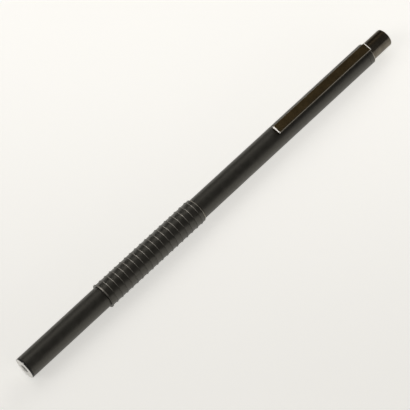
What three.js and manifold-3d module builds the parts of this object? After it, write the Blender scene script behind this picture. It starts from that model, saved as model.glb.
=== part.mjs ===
// Retractable ballpoint pen with a ringed grip, a sprung clip and a click mechanism.
// The pen lies along X, with its nose towards -X, its push button towards +X and its clip on top.
// Lengths are in millimetres. A station is a distance from the nose face along the pen.

import * as THREE from 'three';
import { mergeVertices } from 'three/addons/utils/BufferGeometryUtils.js';
import Module from 'manifold-3d';

const wasm = await Module();
wasm.setup();

// Barrels
const BARREL_DIAMETER = 6.6;
const BARREL_WALL = 0.45;
const FRONT_BARREL_LENGTH = 28.63;
const REAR_BARREL_LENGTH = 68.8;

// Nose bush
const NOSE_FLANGE_LENGTH = 0.55;
const NOSE_SPIGOT_LENGTH = 6.4;
const NOSE_BORE_DIAMETER = 2.44;
const NOSE_BORE_LENGTH = 4.6;
const NOSE_COUNTERSINK = 0.22;

// Grip
const FRONT_RING_DIAMETER = 7.8;
const FRONT_RING_LENGTH = 0.4;
const GRIP_DIAMETER = 7.06;
const FIN_DIAMETER = 7.64;
const FIN_LENGTH = 0.26;
const FIN_FLANK = 0.07;
const FIN_PITCH = 1.92;
const FIN_COUNT = 18;
const GRIP_TAIL_LENGTH = 1.1;
const REAR_RING_LENGTH = 0.4;
const REAR_RING_CHAMFER = 0.2;

// Connector that carries the grip and screws into the rear barrel
const CONNECTOR_REACH = 7.4;
const CONNECTOR_BORE_DIAMETER = 4.6;
const SCREW_DIAMETER = 4.84;
const SCREW_BORE_DIAMETER = 3.8;
const SCREW_LENGTH = 8;
const INSERT_SETBACK = 1.2;
const INSERT_LENGTH = 6.4;
const O_RING_SECTION = 0.36;

// Refill
const REFILL_DIAMETER = 3;
const REFILL_WALL = 0.25;
const TIP_SETBACK = 1.8;
const BALL_DIAMETER = 1;
const BALL_STAND_OUT = 0.3;
const TIP_FACE_DIAMETER = 1.3;
const TIP_CONE_LENGTH = 2.9;
const NOZZLE_SHOULDER_LENGTH = 2.4;
const NOZZLE_SPIGOT_LENGTH = 2;
const INK_CHANNEL_DIAMETER = 0.5;
const INK_LENGTH = 74;
const COLLAR_LENGTH = 1;
const PLUG_HEAD_LENGTH = 1;
const PLUG_SPIGOT_LENGTH = 3;
const PLUG_VENT_DIAMETER = 0.6;

// Return spring
const WIRE_DIAMETER = 0.4;
const SPRING_LENGTH = 18;
const SPRING_TURNS = 11;
const END_TURN_PITCH = 0.86;

// Click mechanism
const STROKE = 5;
const CAM_SHAFT_DIAMETER = 3.8;
const RIDGE_HEIGHT = 0.45;
const RIDGE_ANGLE = 20;
const RIDGE_COUNT = 4;
const RIDGE_LENGTH = 3;
const ROTOR_NOSE_LENGTH = 3.4;
const ROTOR_CUP_DEPTH = 1.5;
const ROTOR_PIN_DIAMETER = 2;
const ROTOR_PIN_LENGTH = 3;
const CROWN_DEPTH = 0.6;
const SPLINE_LENGTH = 5.2;
const STEM_LENGTH = 6;
const CAM_RIM_LENGTH = 2.4;
const SAW_DEPTH = 0.9;
const RELEASE_GAP = 0.25;
const RETAINER_LENGTH = 0.8;
const RETAINER_GAP_ANGLE = 36;

// Push button
const BUTTON_STAND_OUT = 7.6;
const BUTTON_GUIDE_LENGTH = 2;
const BUTTON_EDGE_RADIUS = 0.4;
const PRESS_MARGIN = 1;

// Clip and the ring at the rear end
const END_RING_LENGTH = 0.6;
const END_RING_SKIRT = 1;
const END_RING_WALL = 0.2;
const CLIP_LENGTH = 38;
const CLIP_WIDTH = 2.88;
const CLIP_RISE = 1.22;
const CLIP_SHEET = 0.42;
const CLIP_BEND_RADIUS = 0.22;
const CLIP_END_RADIUS = 0.5;
const CLIP_HOOK_DEPTH = 0.28;

// Clearances
const PRESS_FIT = 0.03;
const RUNNING_FIT = 0.05;
const CAM_FIT = 0.07;
const SPRING_FIT = 0.08;
const SEAM = 0.04;
const SEAT_GAP = 0.2;
const MESH_GAP = 0.12;
const EDGE_BREAK = 0.07;

// Roundness of the facets
const ROUND_STEPS = 36;
const SMALL_STEPS = 24;
const CORNER_STEPS = 3;
const RAMP_STEPS = 3;
const O_RING_SIDES = 8;
const WIRE_SIDES = 5;
const WIRE_STEPS_PER_TURN = 8;
const BALL_STEPS = 16;

// Radii that follow from the sizes above
const barrelRadius = BARREL_DIAMETER / 2;
const barrelBore = barrelRadius - BARREL_WALL;
const innerRadius = barrelBore - PRESS_FIT;
const noseBore = NOSE_BORE_DIAMETER / 2;
const gripRadius = GRIP_DIAMETER / 2;
const finRadius = FIN_DIAMETER / 2;
const frontRingRadius = FRONT_RING_DIAMETER / 2;
const connectorBore = CONNECTOR_BORE_DIAMETER / 2;
const screwRadius = SCREW_DIAMETER / 2;
const screwBore = SCREW_BORE_DIAMETER / 2;
const nozzleRadius = noseBore - RUNNING_FIT;
const refillRadius = REFILL_DIAMETER / 2;
const refillBore = refillRadius - REFILL_WALL;
const collarRadius = screwBore - RUNNING_FIT;
const springChord = refillRadius + SPRING_FIT + WIRE_DIAMETER / 2;
const springRadius = springChord / Math.cos(Math.PI / WIRE_STEPS_PER_TURN);
const ballRadius = BALL_DIAMETER / 2;
const shaftRadius = CAM_SHAFT_DIAMETER / 2;
const ridgeRadius = shaftRadius + RIDGE_HEIGHT;
const pinRadius = ROTOR_PIN_DIAMETER / 2;
const buttonRadius = barrelBore - RUNNING_FIT;

// Stations of the outside, from the nose to the button
const frontBarrelStart = NOSE_FLANGE_LENGTH + SEAM;
const frontBarrelEnd = frontBarrelStart + FRONT_BARREL_LENGTH;
const frontRingStart = frontBarrelEnd + SEAM;
const frontRingCentre = frontRingStart + FRONT_RING_LENGTH / 2;
const gripStart = frontRingStart + FRONT_RING_LENGTH + SEAM;
const lastFinCentre = frontRingCentre + FIN_COUNT * FIN_PITCH;
const gripEnd = lastFinCentre + GRIP_TAIL_LENGTH;
const rearRingStart = gripEnd + SEAM;
const rearRingEnd = rearRingStart + REAR_RING_LENGTH;
const rearBarrelStart = rearRingEnd + SEAM;
const rearBarrelEnd = rearBarrelStart + REAR_BARREL_LENGTH;
const endRingStart = rearBarrelEnd + SEAM;
const rearEnd = endRingStart + END_RING_LENGTH;
const buttonTop = rearEnd + BUTTON_STAND_OUT;

// Stations of the click mechanism, from the button inwards
const buttonSkirt = rearEnd - STROKE - BUTTON_GUIDE_LENGTH;
const retainerEnd = buttonSkirt - STROKE - PRESS_MARGIN;
const retainerStart = retainerEnd - RETAINER_LENGTH;
const camEnd = retainerStart - SEAM;
const grooveEnd = camEnd - CAM_RIM_LENGTH;
const splineEnd = grooveEnd - SEAT_GAP;
const crownTip = splineEnd - SPLINE_LENGTH;
const rotorFace = crownTip - MESH_GAP;
const ridgeStart = rotorFace - RIDGE_LENGTH;
const rotorFront = ridgeStart - ROTOR_NOSE_LENGTH;
const camFront = rotorFace + CROWN_DEPTH - STROKE + RELEASE_GAP;
const flankAngle = 360 / (4 * RIDGE_COUNT);
const stemEnd = buttonSkirt + STEM_LENGTH;

// Stations of the refill and its spring, from the nose inwards
const springSeat = NOSE_BORE_LENGTH;
const ballCentre = TIP_SETBACK + ballRadius;
const tipFace = TIP_SETBACK + BALL_STAND_OUT;
const nozzleShoulder = springSeat + STROKE + PRESS_MARGIN;
const tubeStart = nozzleShoulder + NOZZLE_SHOULDER_LENGTH;
const collarStart = springSeat + SEAM + SPRING_LENGTH + SEAM;
const plugEnd = rotorFront + ROTOR_CUP_DEPTH - SEAT_GAP;
const tubeEnd = plugEnd - PLUG_HEAD_LENGTH - SEAM;

// Finishes, each made new for its piece
const finish = (color, roughness, metalness) => (
  new THREE.MeshStandardMaterial({ color, roughness, metalness })
);
const matteBlack = () => finish(0x252420, 0.5, 0.4);
const blackChrome = () => finish(0x30261a, 0.16, 0.9);
const bareSteel = () => finish(0xc4c3bf, 0.3, 1);
const springSteel = () => finish(0x9a9892, 0.35, 1);
const brass = () => finish(0xb08d4f, 0.35, 1);
const whitePlastic = () => finish(0xd9d7cf, 0.5, 0);
const greyPlastic = () => finish(0x6d6f72, 0.5, 0);
const blackRubber = () => finish(0x17171a, 0.8, 0);
const blueInk = () => finish(0x10184a, 0.4, 0);

// A body of revolution about the pen's axis. The outline is a list of [station, radius]
// that either starts and ends on the axis or is closed here to make a ring.
function turned(outline, steps = ROUND_STEPS) {
  const points = outline.map(([station, radius]) => new THREE.Vector2(radius, station));
  if (THREE.ShapeUtils.area(points) < 0) points.reverse();
  const onAxis = points[0].x === 0 && points[points.length - 1].x === 0;
  if (!onAxis) points.push(points[0].clone());
  const geometry = new THREE.LatheGeometry(points, steps);
  return geometry.rotateZ(-Math.PI / 2);
}

// A plain tube between two stations.
function tube(start, end, bore, radius, steps = ROUND_STEPS) {
  return turned([[start, bore], [start, radius], [end, radius], [end, bore]], steps);
}

// The points of a quarter round at an outer corner of an outline, which ends at its face.
function roundedCorner(faceStation, radius, corner) {
  const points = [];
  for (let step = 0; step <= CORNER_STEPS; step += 1) {
    const angle = (step / CORNER_STEPS) * (Math.PI / 2);
    const station = faceStation - corner * (1 - Math.sin(angle));
    points.push([station, radius - corner * (1 - Math.cos(angle))]);
  }
  return points;
}

// A point at a station, a radius and an angle about the axis, with zero on top.
function around(station, radius, angle) {
  return [station, -radius * Math.sin(angle), radius * Math.cos(angle)];
}

// A stretch of a ring between two angles in degrees, whose two ends can slope with the angle.
function sector({ bore, radius, from, to, frontAt, rearAt, steps = RAMP_STEPS }) {
  const cornerCount = 4;
  const positions = [];
  for (let step = 0; step <= steps; step += 1) {
    const share = step / steps;
    const angle = THREE.MathUtils.degToRad(from + (to - from) * share);
    positions.push(...around(frontAt(share), bore, angle), ...around(frontAt(share), radius, angle));
    positions.push(...around(rearAt(share), radius, angle), ...around(rearAt(share), bore, angle));
  }
  const last = steps * cornerCount;
  const index = [0, 1, 2, 0, 2, 3, last + 2, last + 1, last, last + 3, last + 2, last];
  for (let step = 0; step < steps; step += 1) {
    for (let corner = 0; corner < cornerCount; corner += 1) {
      const next = (corner + 1) % cornerCount;
      const a = step * cornerCount + next;
      const b = step * cornerCount + corner;
      index.push(a, b, b + cornerCount, a, b + cornerCount, a + cornerCount);
    }
  }
  const geometry = new THREE.BufferGeometry();
  geometry.setAttribute('position', new THREE.Float32BufferAttribute(positions, 3));
  geometry.setIndex(index);
  return geometry;
}

// A closed geometry as a solid that can be joined and cut.
function solid(geometry) {
  const bare = geometry.clone();
  bare.deleteAttribute('normal');
  bare.deleteAttribute('uv');
  const merged = mergeVertices(bare, 1e-5);
  const corners = merged.getIndex().array;
  const triangles = [];
  for (let i = 0; i < corners.length; i += 3) {
    const [a, b, c] = [corners[i], corners[i + 1], corners[i + 2]];
    if (a !== b && b !== c && c !== a) triangles.push(a, b, c);
  }
  return new wasm.Manifold(new wasm.Mesh({
    numProp: 3,
    vertProperties: new Float32Array(merged.getAttribute('position').array),
    triVerts: new Uint32Array(triangles),
  }));
}

// A solid back as a geometry.
function geometryOf(body) {
  const mesh = body.getMesh();
  const geometry = new THREE.BufferGeometry();
  geometry.setAttribute('position', new THREE.BufferAttribute(mesh.vertProperties, 3));
  geometry.setIndex(new THREE.BufferAttribute(mesh.triVerts, 1));
  return geometry;
}

// A block between two corners.
function block(low, high) {
  const size = high.map((value, axis) => value - low[axis]);
  const geometry = new THREE.BoxGeometry(...size);
  return geometry.translate(...low.map((value, axis) => value + size[axis] / 2));
}

// The middle angle of each of the cams' ridges, in degrees.
function ridgeAngles() {
  return Array.from({ length: RIDGE_COUNT }, (_, ridge) => (360 / RIDGE_COUNT) * ridge);
}

function noseBush() {
  const spigotEnd = frontBarrelStart + NOSE_SPIGOT_LENGTH;
  return turned([
    [0, noseBore + NOSE_COUNTERSINK],
    [0, barrelRadius - EDGE_BREAK],
    [EDGE_BREAK, barrelRadius],
    [NOSE_FLANGE_LENGTH, barrelRadius],
    [NOSE_FLANGE_LENGTH, innerRadius],
    [spigotEnd, innerRadius],
    [spigotEnd, connectorBore],
    [springSeat, connectorBore],
    [springSeat, noseBore],
    [NOSE_COUNTERSINK, noseBore],
  ]);
}

function frontBarrel() {
  return tube(frontBarrelStart, frontBarrelEnd, barrelBore, barrelRadius);
}

function gripFrontRing() {
  const end = frontRingStart + FRONT_RING_LENGTH;
  return turned([
    [frontRingStart, barrelBore],
    [frontRingStart, frontRingRadius - EDGE_BREAK],
    [frontRingStart + EDGE_BREAK, frontRingRadius],
    [end - EDGE_BREAK, frontRingRadius],
    [end, frontRingRadius - EDGE_BREAK],
    [end, barrelBore],
  ]);
}

// The sleeve's fins are turned from the solid, at one pitch from the front ring.
function gripSleeve() {
  const outline = [[gripStart, barrelBore], [gripStart, gripRadius]];
  for (let fin = 1; fin <= FIN_COUNT; fin += 1) {
    const centre = frontRingCentre + fin * FIN_PITCH;
    const half = FIN_LENGTH / 2;
    outline.push([centre - half - FIN_FLANK, gripRadius]);
    outline.push([centre - half, finRadius]);
    outline.push([centre + half, finRadius]);
    outline.push([centre + half + FIN_FLANK, gripRadius]);
  }
  outline.push([gripEnd, gripRadius], [gripEnd, barrelBore]);
  return turned(outline);
}

function gripRearRing() {
  return turned([
    [rearRingStart, barrelBore],
    [rearRingStart, gripRadius],
    [rearRingEnd - REAR_RING_CHAMFER, gripRadius],
    [rearRingEnd, gripRadius - REAR_RING_CHAMFER],
    [rearRingEnd, barrelBore],
  ]);
}

// The tube that joins the front barrel, the grip and the rear barrel.
function connectorTube() {
  const start = frontBarrelEnd - CONNECTOR_REACH;
  const screwEnd = rearRingEnd + SCREW_LENGTH;
  const boreStep = rearRingEnd - BARREL_WALL - (connectorBore - screwBore);
  return turned([
    [start, connectorBore],
    [start, innerRadius],
    [rearRingEnd, innerRadius],
    [rearRingEnd, screwRadius],
    [screwEnd, screwRadius],
    [screwEnd, screwBore],
    [boreStep, screwBore],
    [boreStep, connectorBore],
  ]);
}

function threadInsert() {
  const start = rearBarrelStart + INSERT_SETBACK;
  return tube(start, start + INSERT_LENGTH, screwRadius + PRESS_FIT, innerRadius);
}

function oRing() {
  const section = O_RING_SECTION / 2;
  const centreRadius = screwRadius + PRESS_FIT / 2 + section;
  const centre = rearBarrelStart + INSERT_SETBACK / 2;
  const outline = [];
  for (let corner = 0; corner < O_RING_SIDES; corner += 1) {
    const angle = (corner / O_RING_SIDES) * 2 * Math.PI;
    outline.push([centre + section * Math.sin(angle), centreRadius + section * Math.cos(angle)]);
  }
  return turned(outline, SMALL_STEPS);
}

// The ball's socket, with a lip that is narrower than the ball, and the ink channel behind it.
function refillNozzle() {
  const socket = ballRadius + PRESS_FIT;
  const lipReach = ballCentre - tipFace;
  const lip = Math.sqrt(ballRadius ** 2 - lipReach ** 2) + PRESS_FIT / 2;
  const channel = INK_CHANNEL_DIAMETER / 2;
  const spigotEnd = tubeStart + NOZZLE_SPIGOT_LENGTH;
  return turned([
    [tipFace, lip],
    [tipFace, TIP_FACE_DIAMETER / 2],
    [tipFace + TIP_CONE_LENGTH, nozzleRadius],
    [nozzleShoulder, nozzleRadius],
    [nozzleShoulder + refillRadius - nozzleRadius, refillRadius],
    [tubeStart - SEAM, refillRadius],
    [tubeStart - SEAM, refillBore - PRESS_FIT],
    [spigotEnd, refillBore - PRESS_FIT],
    [spigotEnd, channel],
    [ballCentre + ballRadius + 2 * RUNNING_FIT, channel],
    [ballCentre + socket / 2, socket],
    [ballCentre, socket],
  ], SMALL_STEPS);
}

function writingBall() {
  const geometry = new THREE.SphereGeometry(ballRadius, BALL_STEPS, BALL_STEPS / 2);
  return geometry.translate(ballCentre, 0, 0);
}

function refillTube() {
  return tube(tubeStart, tubeEnd, refillBore, refillRadius, SMALL_STEPS);
}

function inkColumn() {
  const start = tubeStart + NOZZLE_SPIGOT_LENGTH + SEAM;
  const end = start + INK_LENGTH;
  const radius = refillBore - PRESS_FIT;
  return turned([[start, 0], [start, radius], [end, radius], [end, 0]], SMALL_STEPS);
}

// The collar that the spring pushes on. It is small enough for the screw to be drawn off over it.
function refillCollar() {
  const end = collarStart + COLLAR_LENGTH;
  return tube(collarStart, end, refillRadius + PRESS_FIT, collarRadius, SMALL_STEPS);
}

function refillPlug() {
  const spigotStart = tubeEnd - PLUG_SPIGOT_LENGTH;
  const spigot = refillBore - PRESS_FIT;
  const headStart = tubeEnd + SEAM;
  const vent = PLUG_VENT_DIAMETER / 2;
  return turned([
    [spigotStart, vent],
    [spigotStart, spigot],
    [headStart, spigot],
    [headStart, refillRadius],
    [plugEnd, refillRadius],
    [plugEnd, vent],
  ], SMALL_STEPS);
}

// The spring's centre line: a close turn at each end, open turns between them, and a
// straight stretch of one wire diameter at each end of the wire.
class SpringLine extends THREE.Curve {
  constructor() {
    super();
    this.start = springSeat + SEAM + WIRE_DIAMETER / 2;
    this.turns = SPRING_TURNS + 2;
    const openLength = SPRING_LENGTH - WIRE_DIAMETER - 2 * END_TURN_PITCH;
    this.pitch = openLength / SPRING_TURNS;
    this.lead = WIRE_DIAMETER / (2 * Math.PI * springRadius);
  }

  stationAt(turn) {
    const open = Math.min(Math.max(turn - 1, 0), SPRING_TURNS);
    return this.start + open * this.pitch + (turn < 1 ? turn : 1) * END_TURN_PITCH
      + Math.max(turn - 1 - SPRING_TURNS, 0) * END_TURN_PITCH;
  }

  pointAtTurn(turn) {
    return new THREE.Vector3(...around(this.stationAt(turn), springRadius, turn * 2 * Math.PI));
  }

  getPoint(t) {
    const turn = t * (this.turns + 2 * this.lead) - this.lead;
    const held = Math.min(Math.max(turn, 0), this.turns);
    const point = this.pointAtTurn(held);
    const beyond = (turn - held) * 2 * Math.PI * springRadius;
    const angle = held * 2 * Math.PI;
    point.y -= beyond * Math.cos(angle);
    point.z -= beyond * Math.sin(angle);
    return point;
  }
}

// The least gap between one turn of the wire and another, measured on points of its centre line.
function springGap(line) {
  const perTurn = 3 * WIRE_STEPS_PER_TURN;
  const points = Array.from({ length: line.turns * perTurn + 1 }, (_, i) => line.pointAtTurn(i / perTurn));
  let least = Infinity;
  points.forEach((point, i) => {
    for (const other of points.slice(i + perTurn / 2)) least = Math.min(least, point.distanceTo(other));
  });
  return least - WIRE_DIAMETER;
}

function returnSpring() {
  const line = new SpringLine();
  console.log(`least gap of the return spring to itself: ${springGap(line).toFixed(2)} mm`);
  const corners = Array.from({ length: WIRE_SIDES }, (_, side) => {
    const angle = (side / WIRE_SIDES) * 2 * Math.PI;
    return new THREE.Vector2(Math.cos(angle), Math.sin(angle)).multiplyScalar(WIRE_DIAMETER / 2);
  });
  const steps = line.turns * WIRE_STEPS_PER_TURN;
  return new THREE.ExtrudeGeometry(new THREE.Shape(corners), { steps, extrudePath: line });
}

// The crown is a zigzag with two teeth for each ridge. The flank that meets a ridge runs from
// a tip to a notch, and this is its depth at an angle in degrees from the ridge's middle.
function flankDepth(angle) {
  return CROWN_DEPTH * (0.5 + angle / flankAngle);
}

// The thrust cam slides in the cam body's grooves and turns the rotor by its crown of teeth.
function thrustCam() {
  const bore = pinRadius + CAM_FIT;
  const boreEnd = rotorFace + ROTOR_PIN_LENGTH + SEAT_GAP;
  let body = solid(turned([
    [boreEnd, 0],
    [boreEnd, bore],
    [crownTip, bore],
    [crownTip, shaftRadius],
    [stemEnd, shaftRadius],
    [stemEnd, 0],
  ], SMALL_STEPS));
  for (const middle of ridgeAngles()) {
    body = body.add(solid(sector({
      bore: shaftRadius - RIDGE_HEIGHT,
      radius: ridgeRadius,
      from: middle - RIDGE_ANGLE / 2,
      to: middle + RIDGE_ANGLE / 2,
      frontAt: () => crownTip,
      rearAt: () => splineEnd,
    })));
  }
  for (let tooth = 0; tooth < 2 * RIDGE_COUNT; tooth += 1) {
    const tip = (2 * tooth - 0.5) * flankAngle;
    body = body.subtract(solid(sector({
      bore: bore - CAM_FIT,
      radius: ridgeRadius + CAM_FIT,
      from: tip,
      to: tip + 2 * flankAngle,
      frontAt: () => crownTip - CROWN_DEPTH,
      rearAt: (share) => crownTip + CROWN_DEPTH * (1 - Math.abs(2 * share - 1)),
      steps: 2 * RAMP_STEPS,
    })));
  }
  return geometryOf(body);
}

// The rotor has a cup for the refill's end, a pin in the thrust cam and ridges with sloping ends.
function rotorCam() {
  const cup = refillRadius + PRESS_FIT;
  const cupFloor = rotorFront + ROTOR_CUP_DEPTH;
  const pinEnd = rotorFace + ROTOR_PIN_LENGTH;
  let body = solid(turned([
    [cupFloor, 0],
    [cupFloor, cup],
    [rotorFront, cup],
    [rotorFront, shaftRadius],
    [rotorFace, shaftRadius],
    [rotorFace, pinRadius],
    [pinEnd, pinRadius],
    [pinEnd, 0],
  ], SMALL_STEPS));
  for (const middle of ridgeAngles()) {
    body = body.add(solid(sector({
      bore: shaftRadius - RIDGE_HEIGHT / 2,
      radius: ridgeRadius,
      from: middle - RIDGE_ANGLE / 2,
      to: middle + RIDGE_ANGLE / 2,
      frontAt: () => ridgeStart,
      rearAt: (share) => rotorFace + flankDepth(RIDGE_ANGLE * (share - 0.5)),
    })));
  }
  return geometryOf(body);
}

// The fixed sleeve that guides the cams. Its front edge is a saw with two teeth for each ridge:
// one tooth turns a ridge to a stop, and the next turns it into a groove.
function camBody() {
  const bore = shaftRadius + CAM_FIT;
  const sideFit = THREE.MathUtils.radToDeg(CAM_FIT / shaftRadius);
  const cut = {
    bore: bore - RIDGE_HEIGHT,
    radius: ridgeRadius + CAM_FIT,
    frontAt: () => camFront - SAW_DEPTH,
  };
  let body = solid(tube(camFront, camEnd, bore, innerRadius));
  for (let tooth = 0; tooth < 2 * RIDGE_COUNT; tooth += 1) {
    const step = 2 * tooth * flankAngle;
    body = body.subtract(solid(sector({
      ...cut,
      from: step - sideFit,
      to: step + 2 * flankAngle,
      rearAt: (share) => camFront + SAW_DEPTH * share,
      steps: 2 * RAMP_STEPS,
    })));
  }
  for (const middle of ridgeAngles()) {
    body = body.subtract(solid(sector({
      ...cut,
      from: middle - RIDGE_ANGLE / 2 - sideFit,
      to: middle + RIDGE_ANGLE / 2 + sideFit,
      rearAt: () => grooveEnd,
    })));
  }
  return geometryOf(body);
}

// The split ring that the cam body bears on when the button is let go.
function camRetainer() {
  const bore = shaftRadius + 2 * CAM_FIT;
  const ring = solid(tube(retainerStart, retainerEnd, bore, innerRadius, SMALL_STEPS));
  const gap = solid(sector({
    bore: shaftRadius - RIDGE_HEIGHT,
    radius: barrelRadius,
    from: 180 - RETAINER_GAP_ANGLE / 2,
    to: 180 + RETAINER_GAP_ANGLE / 2,
    frontAt: () => retainerStart - RETAINER_LENGTH,
    rearAt: () => retainerEnd + RETAINER_LENGTH,
  }));
  return geometryOf(ring.subtract(gap));
}

function pushButton() {
  const stemBore = shaftRadius + PRESS_FIT;
  const boreEnd = stemEnd + SEAM;
  return turned([
    [boreEnd, 0],
    [boreEnd, stemBore],
    [buttonSkirt, stemBore],
    [buttonSkirt, buttonRadius - EDGE_BREAK],
    [buttonSkirt + EDGE_BREAK, buttonRadius],
    ...roundedCorner(buttonTop, buttonRadius, BUTTON_EDGE_RADIUS),
    [buttonTop, 0],
  ]);
}

// The rear barrel has a thinner stretch at its rear end, which the end ring's skirt covers.
function rearBarrel() {
  const rebate = rearBarrelEnd - END_RING_SKIRT;
  const rebateRadius = barrelRadius - END_RING_WALL - PRESS_FIT;
  return turned([
    [rearBarrelStart, barrelBore],
    [rearBarrelStart, barrelRadius - EDGE_BREAK],
    [rearBarrelStart + EDGE_BREAK, barrelRadius],
    [rebate, barrelRadius],
    [rebate, rebateRadius],
    [rearBarrelEnd, rebateRadius],
    [rearBarrelEnd, barrelBore],
  ]);
}

// The end ring closes the barrel's rim, and a notch on top holds the clip's hook.
function endRing() {
  const skirtStart = rearBarrelEnd - END_RING_SKIRT + SEAM;
  const skirtBore = barrelRadius - END_RING_WALL;
  const ring = solid(turned([
    [skirtStart, skirtBore],
    [skirtStart, barrelRadius],
    [rearEnd - EDGE_BREAK, barrelRadius],
    [rearEnd, barrelRadius - EDGE_BREAK],
    [rearEnd, barrelBore],
    [endRingStart, barrelBore],
    [endRingStart, skirtBore],
  ]));
  const halfNotch = CLIP_WIDTH / 2 + RUNNING_FIT;
  const notch = solid(block(
    [rearEnd - CLIP_SHEET - RUNNING_FIT, -halfNotch, barrelRadius - CLIP_HOOK_DEPTH - RUNNING_FIT],
    [rearEnd + END_RING_LENGTH, halfNotch, barrelRadius + CLIP_RISE],
  ));
  return geometryOf(ring.subtract(notch));
}

// The clip is folded from sheet: a flat top, two low sides, a closed free end, and a fold at
// the rear that hooks into the end ring.
function clip() {
  const freeEnd = rearEnd - CLIP_LENGTH;
  const top = barrelRadius + CLIP_RISE;
  const low = barrelRadius + RUNNING_FIT;
  const hook = barrelRadius - CLIP_HOOK_DEPTH;
  const halfWidth = CLIP_WIDTH / 2;

  const side = new THREE.Shape();
  side.moveTo(freeEnd, low);
  side.lineTo(rearEnd - CLIP_SHEET, low);
  side.lineTo(rearEnd - CLIP_SHEET, hook);
  side.lineTo(rearEnd, hook);
  const endTop = top - CLIP_END_RADIUS;
  side.absarc(rearEnd - CLIP_END_RADIUS, endTop, CLIP_END_RADIUS, 0, Math.PI / 2);
  side.absarc(freeEnd + CLIP_END_RADIUS, endTop, CLIP_END_RADIUS, Math.PI / 2, Math.PI);
  side.closePath();
  const sideBody = new THREE.ExtrudeGeometry(side, {
    depth: CLIP_WIDTH, bevelEnabled: false, curveSegments: CORNER_STEPS,
  });
  sideBody.rotateX(Math.PI / 2).translate(0, halfWidth, 0);

  const across = new THREE.Shape();
  across.moveTo(-halfWidth, hook);
  across.lineTo(halfWidth, hook);
  const bendTop = top - CLIP_BEND_RADIUS;
  across.absarc(halfWidth - CLIP_BEND_RADIUS, bendTop, CLIP_BEND_RADIUS, 0, Math.PI / 2);
  across.absarc(CLIP_BEND_RADIUS - halfWidth, bendTop, CLIP_BEND_RADIUS, Math.PI / 2, Math.PI);
  across.closePath();
  const acrossBody = new THREE.ExtrudeGeometry(across, {
    depth: CLIP_LENGTH, bevelEnabled: false, curveSegments: CORNER_STEPS,
  });
  const alongPen = new THREE.Matrix4().makeBasis(
    new THREE.Vector3(0, 1, 0),
    new THREE.Vector3(0, 0, 1),
    new THREE.Vector3(1, 0, 0),
  );
  acrossBody.applyMatrix4(alongPen).translate(freeEnd, 0, 0);

  const hollow = block(
    [freeEnd + CLIP_SHEET, CLIP_SHEET - halfWidth, hook - CLIP_SHEET],
    [rearEnd - CLIP_SHEET, halfWidth - CLIP_SHEET, top - CLIP_SHEET],
  );
  return geometryOf(solid(sideBody).intersect(solid(acrossBody)).subtract(solid(hollow)));
}

const pieces = [
  ['nose_bush', noseBush(), bareSteel()],
  ['front_barrel', frontBarrel(), matteBlack()],
  ['grip_front_ring', gripFrontRing(), matteBlack()],
  ['grip_sleeve', gripSleeve(), matteBlack()],
  ['grip_rear_ring', gripRearRing(), matteBlack()],
  ['connector_tube', connectorTube(), brass()],
  ['thread_insert', threadInsert(), brass()],
  ['o_ring', oRing(), blackRubber()],
  ['return_spring', returnSpring(), springSteel()],
  ['refill_nozzle', refillNozzle(), bareSteel()],
  ['writing_ball', writingBall(), bareSteel()],
  ['refill_tube', refillTube(), springSteel()],
  ['ink_column', inkColumn(), blueInk()],
  ['refill_collar', refillCollar(), brass()],
  ['refill_plug', refillPlug(), greyPlastic()],
  ['rotor_cam', rotorCam(), whitePlastic()],
  ['thrust_cam', thrustCam(), whitePlastic()],
  ['cam_body', camBody(), greyPlastic()],
  ['cam_retainer', camRetainer(), springSteel()],
  ['push_button', pushButton(), blackChrome()],
  ['rear_barrel', rearBarrel(), matteBlack()],
  ['end_ring', endRing(), blackChrome()],
  ['clip', clip(), blackChrome()],
];

// The pen rests on its widest ring, with its middle over the origin.
const pen = new THREE.Group();
pen.position.set(-buttonTop / 2, 0, Math.max(frontRingRadius, finRadius, barrelRadius));
for (const [name, geometry, material] of pieces) {
  const mesh = new THREE.Mesh(geometry, material);
  mesh.name = name;
  pen.add(mesh);
}

export default pen;
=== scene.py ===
"""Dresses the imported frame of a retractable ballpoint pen.

The pen lies along X on a pale floor, with its nose towards -X and its clip on top. Each
sub-assembly is a class: its fields are its sizes in metres, and its methods model its pieces
and give them their finishes.
"""

import logging
import math
from collections.abc import Callable
from dataclasses import dataclass
from enum import Enum

import bmesh
import bpy
from mathutils import Matrix, Vector


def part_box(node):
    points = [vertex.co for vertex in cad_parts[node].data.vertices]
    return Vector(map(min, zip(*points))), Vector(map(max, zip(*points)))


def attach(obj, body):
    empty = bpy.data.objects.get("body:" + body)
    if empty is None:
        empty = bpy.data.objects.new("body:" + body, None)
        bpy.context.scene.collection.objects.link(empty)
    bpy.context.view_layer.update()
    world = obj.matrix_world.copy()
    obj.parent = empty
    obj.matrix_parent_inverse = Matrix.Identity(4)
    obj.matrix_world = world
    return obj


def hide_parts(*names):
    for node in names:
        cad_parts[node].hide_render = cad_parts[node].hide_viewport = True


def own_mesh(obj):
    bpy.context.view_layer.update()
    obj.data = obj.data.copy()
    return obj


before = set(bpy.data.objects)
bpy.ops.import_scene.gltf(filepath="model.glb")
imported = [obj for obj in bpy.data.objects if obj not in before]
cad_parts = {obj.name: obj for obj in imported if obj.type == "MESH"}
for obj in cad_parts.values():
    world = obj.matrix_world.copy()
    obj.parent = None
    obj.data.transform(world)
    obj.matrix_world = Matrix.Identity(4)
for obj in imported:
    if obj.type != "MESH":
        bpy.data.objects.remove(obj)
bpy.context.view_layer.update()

log = logging.getLogger("pen")

MM = 0.001

# Sizes that more than one sub-assembly goes by
BARREL_WALL = 0.45 * MM
SCREW_RADIUS = 2.42 * MM
FIT = 0.03 * MM

# Facets: round an outer and an inner turned piece, and on a quarter round
SIDES = 128
INNER_SIDES = 72
ARC_STEPS = 8

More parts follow.
